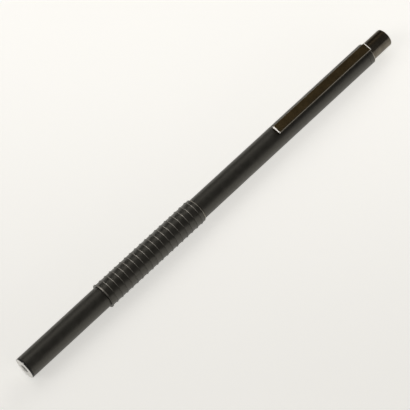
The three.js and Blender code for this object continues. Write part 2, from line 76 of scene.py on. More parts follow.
# Bevels on sharp edges, and the angles from which an edge is bevelled or shaded sharp
EDGE_BREAK = 0.05 * MM
FINE_BREAK = 0.02 * MM
BEVELLED_FROM = math.radians(28)
SHARP_FROM = math.radians(22)
WIRE_SHARP_FROM = math.radians(44)

# How near two places count as one, two scales as equal, and a normal as facing a direction
MERGE = 0.0005 * MM
NEAR = 0.002 * MM
SAME_SCALE = 1e-9
FACING = 0.9

Pair = tuple[float, float]
Outline = list[Pair]
Triple = tuple[float, float, float]
Colour = Triple
Thing = bpy.types.Object
Socket = bpy.types.NodeSocket


class Body(Enum):
    """The frame's bodies."""

    REAR = "rear_section"
    FRONT = "front_section"
    BUTTON = "button"
    REFILL = "refill"
    CLIP = "clip"


class Slot(Enum):
    """The record's material slots."""

    BARREL = "barrel_black"
    GRIP = "grip_black"
    CHROME = "dark_chrome"
    STEEL = "bare_steel"
    SPRING = "spring_steel"
    BRASS = "brass"
    RUBBER = "rubber"


# Modelling


@dataclass(frozen=True)
class Reach:
    """Where a frame node lies along the pen, in metres, and its largest radius."""

    front: float
    rear: float
    radius: float

    @classmethod
    def of(cls, node: str) -> "Reach":
        """Measures a turned node.

        Args:
            node: The node's name in the frame.

        Returns:
            Its front and rear ends and its radius.
        """
        low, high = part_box(node)
        return cls(low.x, high.x, (high.y - low.y) / 2)

    def middle(self) -> float:
        """The station halfway along the node."""
        return (self.front + self.rear) / 2

    def tube(self, bore: float) -> Outline:
        """The outline of a plain tube with a bore of a given radius."""
        outer = self.radius
        return [(self.front, bore), (self.front, outer), (self.rear, outer), (self.rear, bore)]


def clear_selection() -> None:
    """Deselects every object, so that an operator acts only on what is added next."""
    bpy.ops.object.select_all(action="DESELECT")


def pick(piece: Thing) -> None:
    """Makes one object the only selected and the active one.

    Args:
        piece: The object.
    """
    clear_selection()
    piece.select_set(True)
    bpy.context.view_layer.objects.active = piece


def label(piece: Thing, name: str) -> None:
    """Names an object and its mesh."""
    piece.name = name
    piece.data.name = name


def add_circle(sides: int, radius: float, centre: Vector, turn: Triple) -> Thing:
    """Adds an open circle primitive, with its place in its mesh.

    Args:
        sides: How many sides it has.
        radius: Its radius.
        centre: Its middle.
        turn: How far it is turned about X, Y and Z, in radians.

    Returns:
        The circle's object, active, with its origin at the world's.
    """
    clear_selection()
    bpy.ops.mesh.primitive_circle_add(
        vertices=sides, radius=radius, fill_type="NOTHING", location=centre, rotation=turn,
    )
    bpy.ops.object.transform_apply(location=True, rotation=True, scale=True)
    return bpy.context.object


def add_block(centre: Vector, size: Vector) -> Thing:
    """Adds a cube primitive stretched to a block, with its place in its mesh.

    Args:
        centre: Its middle.
        size: Its length along X, Y and Z.

    Returns:
        The block's object, active, with its origin at the world's.
    """
    clear_selection()
    bpy.ops.mesh.primitive_cube_add(size=1, location=centre, scale=size)
    bpy.ops.object.transform_apply(location=True, rotation=True, scale=True)
    return bpy.context.object


def select_points(piece: Thing, wanted: Callable[[Vector], bool]) -> None:
    """Selects a mesh's points in edit mode by their place.

    Args:
        piece: The object in edit mode.
        wanted: Says of a point's place whether it is selected.
    """
    mesh = bmesh.from_edit_mesh(piece.data)
    for point in mesh.verts:
        point.select = wanted(point.co)
    mesh.select_flush_mode()
    mesh.select_flush(True)
    bmesh.update_edit_mesh(piece.data)


def select_edges(piece: Thing, wanted: Callable[[Vector, Vector], bool]) -> None:
    """Selects a mesh's edges in edit mode by the places of their two ends.

    Args:
        piece: The object in edit mode.
        wanted: Says of an edge's two ends whether the edge is selected.
    """
    bpy.ops.mesh.select_mode(type="EDGE")
    bpy.ops.mesh.select_all(action="DESELECT")
    mesh = bmesh.from_edit_mesh(piece.data)
    for edge in mesh.edges:
        edge.select_set(wanted(edge.verts[0].co, edge.verts[1].co))
    bmesh.update_edit_mesh(piece.data)


def select_faces(piece: Thing, wanted: Callable[[Vector, Vector], bool]) -> None:
    """Selects a mesh's faces in edit mode by their middles and normals.

    Args:
        piece: The object in edit mode.
        wanted: Says of a face's middle and normal whether the face is selected.
    """
    bpy.ops.mesh.select_mode(type="FACE")
    bpy.ops.mesh.select_all(action="DESELECT")
    mesh = bmesh.from_edit_mesh(piece.data)
    for face in mesh.faces:
        face.select_set(wanted(face.calc_center_median(), face.normal))
    bmesh.update_edit_mesh(piece.data)


def select_every_point() -> None:
    """Selects the whole mesh by its points, in edit mode."""
    bpy.ops.mesh.select_mode(type="VERT")
    bpy.ops.mesh.select_all(action="SELECT")


def close_up() -> None:
    """Merges a mesh's doubles and turns its faces outwards, in edit mode."""
    select_every_point()
    bpy.ops.mesh.remove_doubles(threshold=MERGE)
    bpy.ops.mesh.normals_make_consistent(inside=False)


def apply_modifier(piece: Thing, kind: str, **settings: object) -> None:
    """Adds a modifier, sets it and applies it.

    Args:
        piece: The object, which is the active one.
        kind: The modifier's type.
        **settings: The modifier's own properties.
    """
    modifier = piece.modifiers.new(kind.title(), kind)
    for name, value in settings.items():
        setattr(modifier, name, value)
    bpy.ops.object.modifier_apply(modifier=modifier.name)


def break_edges(piece: Thing, width: float = EDGE_BREAK, segments: int = 1) -> None:
    """Bevels every sharp edge of a piece and shades it smooth between them.

    Args:
        piece: The finished shape.
        width: The bevel's width.
        segments: How many facets the bevel has.
    """
    pick(piece)
    if width:
        apply_modifier(
            piece, "BEVEL", width=width, segments=segments, limit_method="ANGLE",
            angle_limit=BEVELLED_FROM, use_clamp_overlap=True,
        )
    bpy.ops.object.shade_smooth_by_angle(angle=SHARP_FROM)


def weigh_normals(piece: Thing) -> None:
    """Keeps a piece's large faces flat in their shading beside its small bends."""
    pick(piece)
    apply_modifier(piece, "WEIGHTED_NORMAL", keep_sharp=True, weight=100)


def rounded_end(face: float, radius: float, bend: float) -> Outline:
    """A quarter round between a turned side and the rear end face.

    Args:
        face: Where the end face is along the pen.
        radius: The side's radius.
        bend: The round's own radius.

    Returns:
        The round's stations from the side to the face, with one more on the side that
        keeps its shading straight.
    """
    start = face - bend
    stations = [(start - bend / 4, radius)]
    for step in range(ARC_STEPS + 1):
        angle = step / ARC_STEPS * math.pi / 2
        stations.append((start + bend * math.sin(angle), radius - bend + bend * math.cos(angle)))
    return stations


@dataclass(frozen=True)
class Lathe:
    """Turns pieces about the pen's axis.

    Attributes:
        height: The axis's height above the floor.
    """

    height: float

    def centre(self, station: float) -> Vector:
        """The axis's point at a station."""
        return Vector((station, 0, self.height))

    def radius_of(self, place: Vector) -> float:
        """How far a place is from the axis."""
        return math.hypot(place.y, place.z - self.height)

    def draw_out(self, stations: Outline, start: Pair) -> None:
        """Extrudes the selected ring from station to station, in edit mode.

        Args:
            stations: The stations that follow, each with its radius.
            start: The selected ring's own station and radius.
        """
        at, radius = start
        for station, next_radius in stations:
            bpy.ops.mesh.extrude_region_move(
                TRANSFORM_OT_translate={"value": (station - at, 0, 0)}
            )
            scale = next_radius / radius
            if abs(scale - 1) > SAME_SCALE:
                bpy.ops.transform.resize(
                    value=(1, scale, scale), center_override=self.centre(station)
                )
            at, radius = station, next_radius

    def turn(
        self,
        name: str,
        outline: Outline,
        sides: int = SIDES,
        edge: float = EDGE_BREAK,
        segments: int = 1,
    ) -> Thing:
        """Turns a piece from a circle that is extruded and resized along its outline.

        Args:
            name: The piece's name.
            outline: Its stations and radii in order. It starts and ends on the axis, or is
                closed here to make a ring.
            sides: How many sides it has around.
            edge: The width of the bevel on its sharp edges.
            segments: How many facets that bevel has.

        Returns:
            The finished piece.
        """
        solid = outline[0][1] == 0
        stations = [point for point in outline if point[1] > 0]
        first, radius = stations[0]
        piece = add_circle(sides, radius, self.centre(first), (0, math.pi / 2, 0))
        label(piece, name)
        bpy.ops.object.mode_set(mode="EDIT")
        select_every_point()
        self.draw_out(stations[1:], stations[0])
        # Close both ends of a solid piece, or lead a ring back to its first station
        if solid:
            bpy.ops.mesh.edge_face_add()
            select_points(piece, lambda place: (
                abs(place.x - first) < NEAR and abs(self.radius_of(place) - radius) < NEAR
            ))
            bpy.ops.mesh.edge_face_add()
        else:
            self.draw_out(stations[:1], stations[-1])
        close_up()
        bpy.ops.object.mode_set(mode="OBJECT")
        break_edges(piece, edge, segments)
        return piece

    def coil(
        self,
        name: str,
        section: float,
        radius: float,
        start: float,
        stretches: list[tuple[float, int]],
        corners: int,
        steps: int,
    ) -> Thing:
        """Winds a section round the axis with the Screw modifier.

        Args:
            name: The piece's name.
            section: The section's own radius.
            radius: How far the section's middle is from the axis.
            start: Where the winding starts along the pen.
            stretches: The pitch and the number of turns of each stretch.
            corners: How many sides the section has.
            steps: How many steps a turn has.

        Returns:
            The winding, closed at both ends.
        """
        parts = []
        at = start
        for pitch, turns in stretches:
            part = add_circle(corners, section, Vector((0, 0, radius)), (math.pi / 2, 0, 0))
            apply_modifier(
                part, "SCREW", axis="X", angle=2 * math.pi, screw_offset=pitch,
                iterations=turns, steps=steps, render_steps=steps, use_smooth_shade=True,
            )
            bpy.ops.transform.translate(value=(at, 0, self.height))
            bpy.ops.object.transform_apply(location=True, rotation=True, scale=True)
            parts.append(part)
            at += pitch * turns
        pick(parts[0])
        for part in parts[1:]:
            part.select_set(True)
        if len(parts) > 1:
            bpy.ops.object.join()
        winding = bpy.context.object
        label(winding, name)
        bpy.ops.object.mode_set(mode="EDIT")
        select_every_point()
        bpy.ops.mesh.remove_doubles(threshold=MERGE)
        # Close both ends of the winding
        for end in (start, at):
            middle = Vector((end, 0, self.height + radius))
            select_points(winding, lambda place: (place - middle).length < section + NEAR
                          and abs(place.y) < NEAR)
            bpy.ops.mesh.edge_face_add()
        close_up()
        bpy.ops.object.mode_set(mode="OBJECT")
        bpy.ops.object.shade_smooth_by_angle(angle=WIRE_SHARP_FROM)
        return winding


# Finishes


BARE_METAL: Colour = (0.56, 0.53, 0.48)
COAT_TINT: Colour = (1.0, 0.95, 0.83)
BRASS_TONE: Colour = (0.62, 0.44, 0.20)
DARK_GREY: Colour = (0.15, 0.16, 0.17)
COAT_GRAIN = 0.09 * MM

# The middle range of a noise, or of two added, that is stretched to full contrast
NOISE_SPAN = (0.3, 0.7)
PAIR_SPAN = (0.7, 1.3)
COAT_SPAN = (0.75, 1.25)


def shade(tone: Colour, share: float) -> Colour:
    """A tone at a share of its brightness."""
    return tuple(value * share for value in tone)


class NodeSheet:
    """A new material's nodes, with short calls to add and join them."""

    def __init__(self, name: str, height: float) -> None:
        """Starts a material with its shader and the pen's own coordinates.

        Args:
            name: The material's name.
            height: The axis's height above the floor.
        """
        self.material = bpy.data.materials.new(name)
        self.material.use_nodes = True
        self.tree = self.material.node_tree
        self.shader = self.tree.nodes["Principled BSDF"]
        coordinates = self.tree.nodes.new("ShaderNodeTexCoord")
        mapping = self.node("ShaderNodeMapping")
        mapping.inputs["Location"].default_value = (0, 0, -height)
        self.join(coordinates.outputs["Object"], mapping.inputs["Vector"])
        self.place = mapping.outputs["Vector"]

    def node(self, kind: str, **settings: object) -> bpy.types.Node:
        """Adds a node and sets its properties.

        Args:
            kind: The node's type.
            **settings: The node's own properties.

        Returns:
            The new node.
        """
        made = self.tree.nodes.new(kind)
        for name, value in settings.items():
            setattr(made, name, value)
        return made

    def join(self, source: Socket, target: Socket) -> None:
        """Links an output to an input."""
        self.tree.links.new(source, target)

    def feed(self, target: Socket, value: Socket | float | Colour) -> None:
        """Links a socket to an input, or sets the input to a number or a colour.

        Args:
            target: The input.
            value: The socket, the number or the colour.
        """
        if isinstance(value, bpy.types.NodeSocket):
            self.join(value, target)
        else:
            target.default_value = (*value, 1) if isinstance(value, tuple) else value

    def into(self, name: str, value: Socket | float | Colour) -> None:
        """Gives one of the shader's inputs a socket, a number or a colour."""
        self.feed(self.shader.inputs[name], value)

    def reckon(self, operation: str, *values: Socket | float, clamp: bool = False) -> Socket:
        """Adds a Math node.

        Args:
            operation: The node's operation.
            *values: Its inputs, each a socket or a number.
            clamp: Whether the result is held between 0 and 1.

        Returns:
            The node's result.
        """
        made = self.node("ShaderNodeMath", operation=operation, use_clamp=clamp)
        for target, value in zip(made.inputs, values):
            self.feed(target, value)
        return made.outputs["Value"]

    def along(self, axis: str = "X") -> Socket:
        """Finds where a point is along one of the pen's own axes.

        Args:
            axis: X along the pen, or Y or Z across it.

        Returns:
            The distance from the pen's middle or from its axis, in metres.
        """
        split = self.node("ShaderNodeSeparateXYZ")
        self.join(self.place, split.inputs["Vector"])
        return split.outputs[axis]

    def radius(self) -> Socket:
        """Finds how far a point is from the axis.

        Returns:
            The distance in metres.
        """
        flat = self.node("ShaderNodeVectorMath", operation="MULTIPLY")
        self.join(self.place, flat.inputs[0])
        flat.inputs[1].default_value = (0, 1, 1)
        length = self.node("ShaderNodeVectorMath", operation="LENGTH")
        self.join(flat.outputs["Vector"], length.inputs[0])
        return length.outputs["Value"]

    def lean(self) -> Socket:
        """How far a point leans to +Y about the axis, from -1 to 1."""
        return self.reckon("DIVIDE", self.along("Y"), self.radius())

    def away(self, place: Vector) -> Socket:
        """Finds how far a point is from a place.

        Args:
            place: The place in the pen's own coordinates.

        Returns:
            The distance in metres.
        """
        made = self.node("ShaderNodeVectorMath", operation="DISTANCE")
        self.join(self.place, made.inputs[0])
        made.inputs[1].default_value = place
        return made.outputs["Value"]

    def spread(self, value: Socket, low: float, high: float) -> Socket:
        """Maps a range of a value to 0 to 1, held at both ends.

        Args:
            value: What is mapped.
            low: The value that becomes 0.
            high: The value that becomes 1.

        Returns:
            The share from 0 to 1.
        """
        made = self.node("ShaderNodeMapRange", clamp=True, interpolation_type="SMOOTHSTEP")
        self.join(value, made.inputs["Value"])
        made.inputs["From Min"].default_value = low
        made.inputs["From Max"].default_value = high
        return made.outputs["Result"]

    def between(self, share: Socket, low: float, high: float) -> Socket:
        """Maps 0 to 1 to a range.

        Args:
            share: A value from 0 to 1.
            low: What 0 becomes.
            high: What 1 becomes.

        Returns:
            The value in the range.
        """
        made = self.node("ShaderNodeMapRange", clamp=True)
        self.join(share, made.inputs["Value"])
        made.inputs["To Min"].default_value = low
        made.inputs["To Max"].default_value = high
        return made.outputs["Result"]

    def grain(self, size: float, detail: float = 2, length: float = 1) -> Socket:
        """Adds a noise in the pen's own coordinates.

        Args:
            size: The size of its spots, in metres.
            detail: How many octaves it has.
            length: How many times longer along the pen than across it the spots are.

        Returns:
            The noise, about 0.5.
        """
        mapping = self.node("ShaderNodeMapping")
        mapping.inputs["Scale"].default_value = (1 / (size * length), 1 / size, 1 / size)
        self.join(self.place, mapping.inputs["Vector"])
        noise = self.node("ShaderNodeTexNoise")
        noise.inputs["Scale"].default_value = 1
        noise.inputs["Detail"].default_value = detail
        self.join(mapping.outputs["Vector"], noise.inputs["Vector"])
        return noise.outputs["Fac"]

    def turned(self, value: Socket, size: float) -> Socket:
        """Adds a noise that changes only with one value, such as lathe lines by the radius.

        Args:
            value: What the noise follows, in metres.
            size: The lines' width, in metres.

        Returns:
            The noise, about 0.5.
        """
        noise = self.node("ShaderNodeTexNoise", noise_dimensions="1D")
        noise.inputs["Scale"].default_value = 1
        noise.inputs["Detail"].default_value = 3
        self.join(self.reckon("MULTIPLY", value, 1 / size), noise.inputs["W"])
        return noise.outputs["Fac"]

    def blend(self, share: Socket, first: Colour | Socket, second: Colour | Socket) -> Socket:
        """Mixes two colours.

        Args:
            share: 0 for the first and 1 for the second.
            first: A colour or a colour's socket.
            second: A colour or a colour's socket.

        Returns:
            The mixed colour.
        """
        made = self.node("ShaderNodeMix", data_type="RGBA")
        self.join(share, made.inputs["Factor"])
        for identifier, colour in (("A_Color", first), ("B_Color", second)):
            self.feed(next(s for s in made.inputs if s.identifier == identifier), colour)
        return next(s for s in made.outputs if s.identifier == "Result_Color")

    def roughen(self, share: Socket, mean: float, uneven: Pair) -> None:
        """Gives the shader a roughness that varies about a mean.

        Args:
            share: 0 where it is smoothest and 1 where it is roughest.
            mean: The mean roughness.
            uneven: How far the roughness goes below and above the mean.
        """
        below, above = uneven
        self.into("Roughness", self.between(share, mean - below, mean + above))

    def bump(self, height: Socket, depth: float) -> None:
        """Raises the surface's shading by a height.

        Args:
            height: The height from 0 to 1.
            depth: How deep the relief is, in metres.
        """
        made = self.node("ShaderNodeBump")
        made.inputs["Strength"].default_value = 1
        made.inputs["Distance"].default_value = depth
        self.join(height, made.inputs["Height"])
        self.join(made.outputs["Normal"], self.shader.inputs["Normal"])


@dataclass(frozen=True)
class MatteCoat:
    """A fine-grained matte black coat on metal.

    Attributes:
        name: The material's name.
        dark: The coat's darker shade.
        light: The coat's lighter shade.
        roughness: Its mean roughness.
        uneven: How far its roughness goes below and above that.
        sheen: The strength of its mirror reflection.
        cloud: The size of its clouds of lighter and darker shade.
        grain_depth: How deep its grain is.
        rim: The radius from which its upper side shows bare metal, or None: the rims are worn,
            and keeping the bare metal to the upper side paints a highlight there.
        rim_fade: The radii over which that bare metal shows fully.
        rim_wave: The size of the waves in which the bare line wanders.
        rim_wander: How far the bare line wanders.
        near_fade: The lean to +Y over which the bare line, a painted highlight on the upper side,
            starts on the near side.
        far_fade: The lean to +Y over which it ends on the far side.
        bare_from: The station behind which the metal is bare, or None.
        bare_fade: The length over which it shows fully there.
    """

    name: str
    dark: Colour = (0.018, 0.0172, 0.0145)
    light: Colour = (0.031, 0.030, 0.026)
    roughness: float = 0.42
    uneven: Pair = (0.05, 0.06)
    sheen: float = 0.85
    cloud: float = 1.8 * MM
    grain_depth: float = 0.004 * MM
    rim: float | None = None
    rim_fade: float = 0.03 * MM
    rim_wave: float = 1.4 * MM
    rim_wander: float = 0.01 * MM
    near_fade: Pair = (-0.65, -0.2)
    far_fade: Pair = (0.35, 0.75)
    bare_from: float | None = None
    bare_fade: float = 0.02 * MM

    def bare_and_highlight(self, sheet: NodeSheet) -> Socket | None:
        """Finds where the coat gives way to bare metal: behind a station, or on worn rims, kept
        to their upper side as a painted highlight.

        Args:
            sheet: The material's nodes.

        Returns:
            0 on the coat and 1 on bare metal, or None where the coat is whole.
        """
        if self.bare_from is not None:
            return sheet.spread(sheet.along(), self.bare_from, self.bare_from + self.bare_fade)
        if self.rim is None:
            return None
        worn = sheet.reckon("MULTIPLY", sheet.grain(self.rim_wave), self.rim_wander)
        reach = sheet.reckon("ADD", sheet.radius(), worn)
        # Painted highlight: the bare rim shows only on the upper side, where the light falls on
        # it
        lean = sheet.lean()
        upper = sheet.reckon(
            "SUBTRACT", sheet.spread(lean, *self.near_fade), sheet.spread(lean, *self.far_fade),
        )
        rim = sheet.spread(reach, self.rim, self.rim + self.rim_fade)
        return sheet.reckon("MULTIPLY", rim, upper)

    def material(self, height: float) -> bpy.types.Material:
        """Builds the coat's material.

        Args:
            height: The axis's height above the floor.

        Returns:
            The material.
        """
        sheet = NodeSheet(self.name, height)
        fine = sheet.grain(COAT_GRAIN)
        cloud = sheet.grain(self.cloud, detail=3)
        mottle = sheet.spread(sheet.reckon("ADD", cloud, fine), *COAT_SPAN)
        coat = sheet.blend(mottle, self.dark, self.light)
        bare = self.bare_and_highlight(sheet)
        if bare is not None:
            coat = sheet.blend(bare, coat, BARE_METAL)
            sheet.into("Metallic", bare)
        sheet.into("Base Color", coat)
        sheet.roughen(mottle, self.roughness, self.uneven)
        sheet.into("Specular IOR Level", self.sheen)
        sheet.into("Specular Tint", COAT_TINT)
        sheet.bump(fine, self.grain_depth)
        return sheet.material


@dataclass(frozen=True)
class NoseSteel:
    """Turned bare steel whose outer side wears the barrel's black coat.

    Attributes:
        face: Where the bare face lies along the pen.
        side: The radius of the coated side.
        bore: The radius inside which the steel is blasted matt.
        bore_fade: The radii over which the turned steel shows fully.
        dull: The turned steel's darker shade.
        bright: The turned steel's lighter shade.
        blasted: The matt steel's shade.
        matt_roughness: The roughness of the coat and of the matt steel.
        turned_roughness: The roughness of the turned steel.
        line_width: The width of the lathe's lines.
        line_depth: How deep they are.
        smudge: The size of the smudges on the steel.
        coat_dark: The coat's darker shade.
        coat_light: The coat's lighter shade.
        coat_wave: The size of the waves in which the coat's edge wanders.
        coat_wander: How far the coat's edge wanders.
        coat_under: How far inside the side's radius the coat starts and is full.
        coat_behind: How far behind the face the coat starts and is full.
        chip_width: The size of the chip in the coat's edge, at the top.
        chip_fade: How much smaller the chip is where its steel shows fully.
        chip_aside: How far the chip lies to +Y.
    """

    face: float
    side: float
    bore: float
    bore_fade: float = 0.03 * MM
    dull: Colour = (0.56, 0.55, 0.53)
    bright: Colour = (0.70, 0.69, 0.67)
    blasted: Colour = (0.66, 0.65, 0.63)
    matt_roughness: float = 0.46
    turned_roughness: float = 0.34
    line_width: float = 0.035 * MM
    line_depth: float = 0.003 * MM
    smudge: float = 0.9 * MM
    coat_dark: Colour = (0.010, 0.0098, 0.0085)
    coat_light: Colour = (0.019, 0.0185, 0.0165)
    coat_wave: float = 0.35 * MM
    coat_wander: float = 0.05 * MM
    coat_under: Pair = (0.05 * MM, 0.04 * MM)
    coat_behind: Pair = (0.01 * MM, 0.03 * MM)
    chip_width: float = 0.34 * MM
    chip_fade: float = 0.04 * MM
    chip_aside: float = 0.25 * MM

    def coated(self, sheet: NodeSheet) -> Socket:
        """Finds where the black coat lies: on the side, save for the chip.

        Args:
            sheet: The material's nodes.

        Returns:
            1 on the coat and 0 on the steel.
        """
        worn = sheet.reckon("MULTIPLY", sheet.grain(self.coat_wave, detail=3), self.coat_wander)
        chip = sheet.away(Vector((self.face, self.chip_aside, self.side)))
        whole = sheet.spread(
            sheet.reckon("ADD", chip, worn), self.chip_width - self.chip_fade, self.chip_width,
        )
        start, full = self.coat_under
        outside = sheet.spread(sheet.radius(), self.side - start, self.side - full)
        start, full = self.coat_behind
        behind = sheet.spread(
            sheet.reckon("SUBTRACT", sheet.along(), worn), self.face + start, self.face + full,
        )
        return sheet.reckon("MULTIPLY", sheet.reckon("MULTIPLY", outside, behind), whole)

    def material(self, height: float) -> bpy.types.Material:
        """Builds the steel's material.

        Args:
            height: The axis's height above the floor.

        Returns:
            The material.
        """
        sheet = NodeSheet("nose_steel", height)
        lines = sheet.turned(sheet.radius(), self.line_width)
        smudge = sheet.grain(self.smudge, detail=4)
        mean = sheet.reckon(
            "ADD", sheet.reckon("MULTIPLY", lines, 0.5), sheet.reckon("MULTIPLY", smudge, 0.5),
        )
        steel = sheet.blend(sheet.spread(mean, *NOISE_SPAN), self.dull, self.bright)
        coat = sheet.blend(sheet.grain(COAT_GRAIN), self.coat_dark, self.coat_light)
        coated = self.coated(sheet)
        turned = sheet.spread(sheet.radius(), self.bore, self.bore + self.bore_fade)
        steel = sheet.blend(turned, self.blasted, steel)
        bare = sheet.reckon("SUBTRACT", turned, coated, clamp=True)
        sheet.into("Base Color", sheet.blend(coated, steel, coat))
        sheet.into("Metallic", bare)
        roughness = sheet.between(bare, self.matt_roughness, self.turned_roughness)
        sheet.into("Roughness", roughness)
        sheet.bump(lines, self.line_depth)
        return sheet.material


@dataclass(frozen=True)
class BrownChrome:
    """Glossy dark chrome with a brownish cast, finely scratched.

    Attributes:
        name: The material's name.
        tone: Its reflection's colour.
        roughness: Its mean roughness.
        uneven: How far its roughness goes below and above that.
        cloud: The size of its clouds.
        dimmest: Its tone's share in the darkest of them.
        streak: The width of its fine scratches.
        streak_length: How many times longer than wide they are.
        streak_depth: How deep they are.
        worn: The stations before and behind which it shows bright bare metal, worn there and also
            a painted highlight, or None.
        worn_fade: The length over which the bare metal shows fully.
        worn_wave: The size of the waves in which the worn line wanders.
        worn_wander: How far it wanders.
        worn_highlight_above: The height over the axis above which that bare metal shows, on the
            tops of the bends.
        above_fade: The height over which the bare metal shows fully.
        worn_highlight_tone: The colour of that bare metal, worn and a painted highlight.
        flank: How far from the pen's middle its greyer side edges start.
        flank_fade: The width over which they turn grey.
        flank_tone: The side edges' colour.
        far_side_shade: A darker reflection colour painted on the side that leans to +Y, a painted
            shade, or None.
        far_side_shade_fade: The lean to +Y over which that painted shade comes in.
    """

    name: str
    tone: Colour
    roughness: float = 0.17
    uneven: Pair = (0.06, 0.08)
    cloud: float = 2.2 * MM
    dimmest: float = 0.75
    streak: float = 0.05 * MM
    streak_length: float = 40
    streak_depth: float = 0.0012 * MM
    worn: Pair | None = None
    worn_fade: float = 0.1 * MM
    worn_wave: float = 0.4 * MM
    worn_wander: float = 0.3 * MM
    worn_highlight_above: float = 0
    above_fade: float = 0.05 * MM
    worn_highlight_tone: Colour = (0.90, 0.87, 0.83)
    flank: float = 0
    flank_fade: float = 0.06 * MM
    flank_tone: Colour = (0.19, 0.17, 0.14)
    far_side_shade: Colour | None = None
    far_side_shade_fade: Pair = (-0.35, 0.15)

    def wear_and_highlight(self, sheet: NodeSheet, tone: Socket) -> Socket:
        """Greys the side edges and turns the tops of both end bends to bright bare metal, worn
        there and also a painted highlight.

        Args:
            sheet: The material's nodes.
            tone: The whole chrome's colour.

        Returns:
            The worn chrome's colour.
        """
        ragged = sheet.reckon("MULTIPLY", sheet.grain(self.worn_wave, detail=3), self.worn_wander)
        front = sheet.reckon("ADD", sheet.along(), ragged)
        rear = sheet.reckon("SUBTRACT", sheet.along(), ragged)
        # The bright bare metal on the bends' tops is partly wear and partly a painted highlight
        before, behind = self.worn
        at_rear = sheet.spread(rear, behind, behind + self.worn_fade)
        past_front = sheet.spread(front, before, before + self.worn_fade)
        bare = sheet.reckon(
            "SUBTRACT", sheet.reckon("ADD", 1, at_rear), past_front, clamp=True,
        )
        top = self.worn_highlight_above + self.above_fade
        high = sheet.spread(sheet.along("Z"), self.worn_highlight_above, top)
        aside = sheet.reckon("ABSOLUTE", sheet.along("Y"))
        side = sheet.spread(aside, self.flank, self.flank + self.flank_fade)
        greyed = sheet.blend(side, tone, self.flank_tone)
        return sheet.blend(sheet.reckon("MULTIPLY", bare, high), greyed, self.worn_highlight_tone)

    def material(self, height: float) -> bpy.types.Material:
        """Builds the chrome's material.

        Args:
            height: The axis's height above the floor.

        Returns:
            The material.
        """
        sheet = NodeSheet(self.name, height)
        streaks = sheet.grain(self.streak, detail=3, length=self.streak_length)
        cloud = sheet.spread(sheet.grain(self.cloud, detail=3), *NOISE_SPAN)
        tone = sheet.blend(cloud, shade(self.tone, self.dimmest), self.tone)
        # Painted shade: the side that leans to +Y gets a darker reflection colour
        if self.far_side_shade is not None:
            far_shade = sheet.spread(sheet.lean(), *self.far_side_shade_fade)
            tone = sheet.blend(far_shade, tone, self.far_side_shade)
        if self.worn is not None:
            tone = self.wear_and_highlight(sheet, tone)
        sheet.into("Base Color", tone)
        sheet.into("Metallic", 1.0)
        sheet.roughen(streaks, self.roughness, self.uneven)
        sheet.bump(streaks, self.streak_depth)
        return sheet.material


@dataclass(frozen=True)
class Metal:
    """A plain turned or drawn metal.

    Attributes:
        name: The material's name.
        tone: Its colour.
        roughness: Its mean roughness.
        uneven: How far its roughness goes below and above that.
        cloud: The size of its clouds.
        dimmest: Its tone's share in the darkest of them.
        lines: The width of its tool lines.
        line_depth: How deep they are.
        drawn: How many times longer than wide the lines along a drawn tube are, or None
            where the metal is turned and they run round it.
    """

    name: str
    tone: Colour
    roughness: float
    uneven: Pair = (0.06, 0.08)
    cloud: float = 1.5 * MM
    dimmest: float = 0.8
    lines: float = 0.04 * MM
    line_depth: float = 0.002 * MM
    drawn: float | None = None

    def material(self, height: float) -> bpy.types.Material:
        """Builds the metal's material.

        Args:
            height: The axis's height above the floor.

        Returns:
            The material.
        """
        sheet = NodeSheet(self.name, height)
        if self.drawn is not None:
            marks = sheet.grain(self.lines, detail=3, length=self.drawn)
        else:
            marks = sheet.turned(sheet.reckon("ADD", sheet.along(), sheet.radius()), self.lines)
        cloud = sheet.grain(self.cloud, detail=3)
        share = sheet.spread(sheet.reckon("ADD", marks, cloud), *PAIR_SPAN)
        sheet.into("Base Color", sheet.blend(share, shade(self.tone, self.dimmest), self.tone))
        sheet.into("Metallic", 1.0)
        sheet.roughen(cloud, self.roughness, self.uneven)
        sheet.bump(marks, self.line_depth)
        return sheet.material


@dataclass(frozen=True)
class Moulded:
    """A moulded plastic, rubber or ink, with a faint mould texture.

    Attributes:
        name: The material's name.
        tone: Its colour.
        roughness: Its mean roughness.
        uneven: How far its roughness goes below and above that.
        cloud: The size of its clouds.
        dimmest: Its tone's share in the darkest of them.
        texture: The size of the mould's texture.
        texture_depth: How deep it is.
    """

    name: str
    tone: Colour
    roughness: float
    uneven: Pair = (0.06, 0.06)
    cloud: float = 1.2 * MM
    dimmest: float = 0.86
    texture: float = 0.06 * MM
    texture_depth: float = 0.003 * MM

    def material(self, height: float) -> bpy.types.Material:
        """Builds the plastic's material.

        Args:
            height: The axis's height above the floor.

        Returns:
            The material.
        """
        sheet = NodeSheet(self.name, height)
        fine = sheet.grain(self.texture)
        mottle = sheet.spread(sheet.grain(self.cloud, detail=3), *NOISE_SPAN)
        sheet.into("Base Color", sheet.blend(mottle, shade(self.tone, self.dimmest), self.tone))
        sheet.roughen(fine, self.roughness, self.uneven)
        sheet.bump(fine, self.texture_depth)
        return sheet.material


def seat(piece: Thing, body: Body, node: str, material: bpy.types.Material) -> None:
    """Puts a finished piece in a frame node's place.

    Args:
        piece: The finished piece.
        body: The body that it rides on.
        node: The frame node that it stands for.
        material: Its material.
    """
    piece.data.materials.clear()
    piece.data.materials.append(material)
    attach(piece, body.value)
    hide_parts(node)
    log.info("%s: %d faces on %s", piece.name, len(piece.data.polygons), body.value)


def dress(node: str, material: bpy.types.Material) -> None:
    """Gives a frame node that stays a better material.

    Args:
        node: The node's name in the frame.
        material: The material.
    """
    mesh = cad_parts[node].data
    mesh.materials.clear()
    mesh.materials.append(material)
    log.info("%s: keeps its solid", node)


# Sub-assemblies


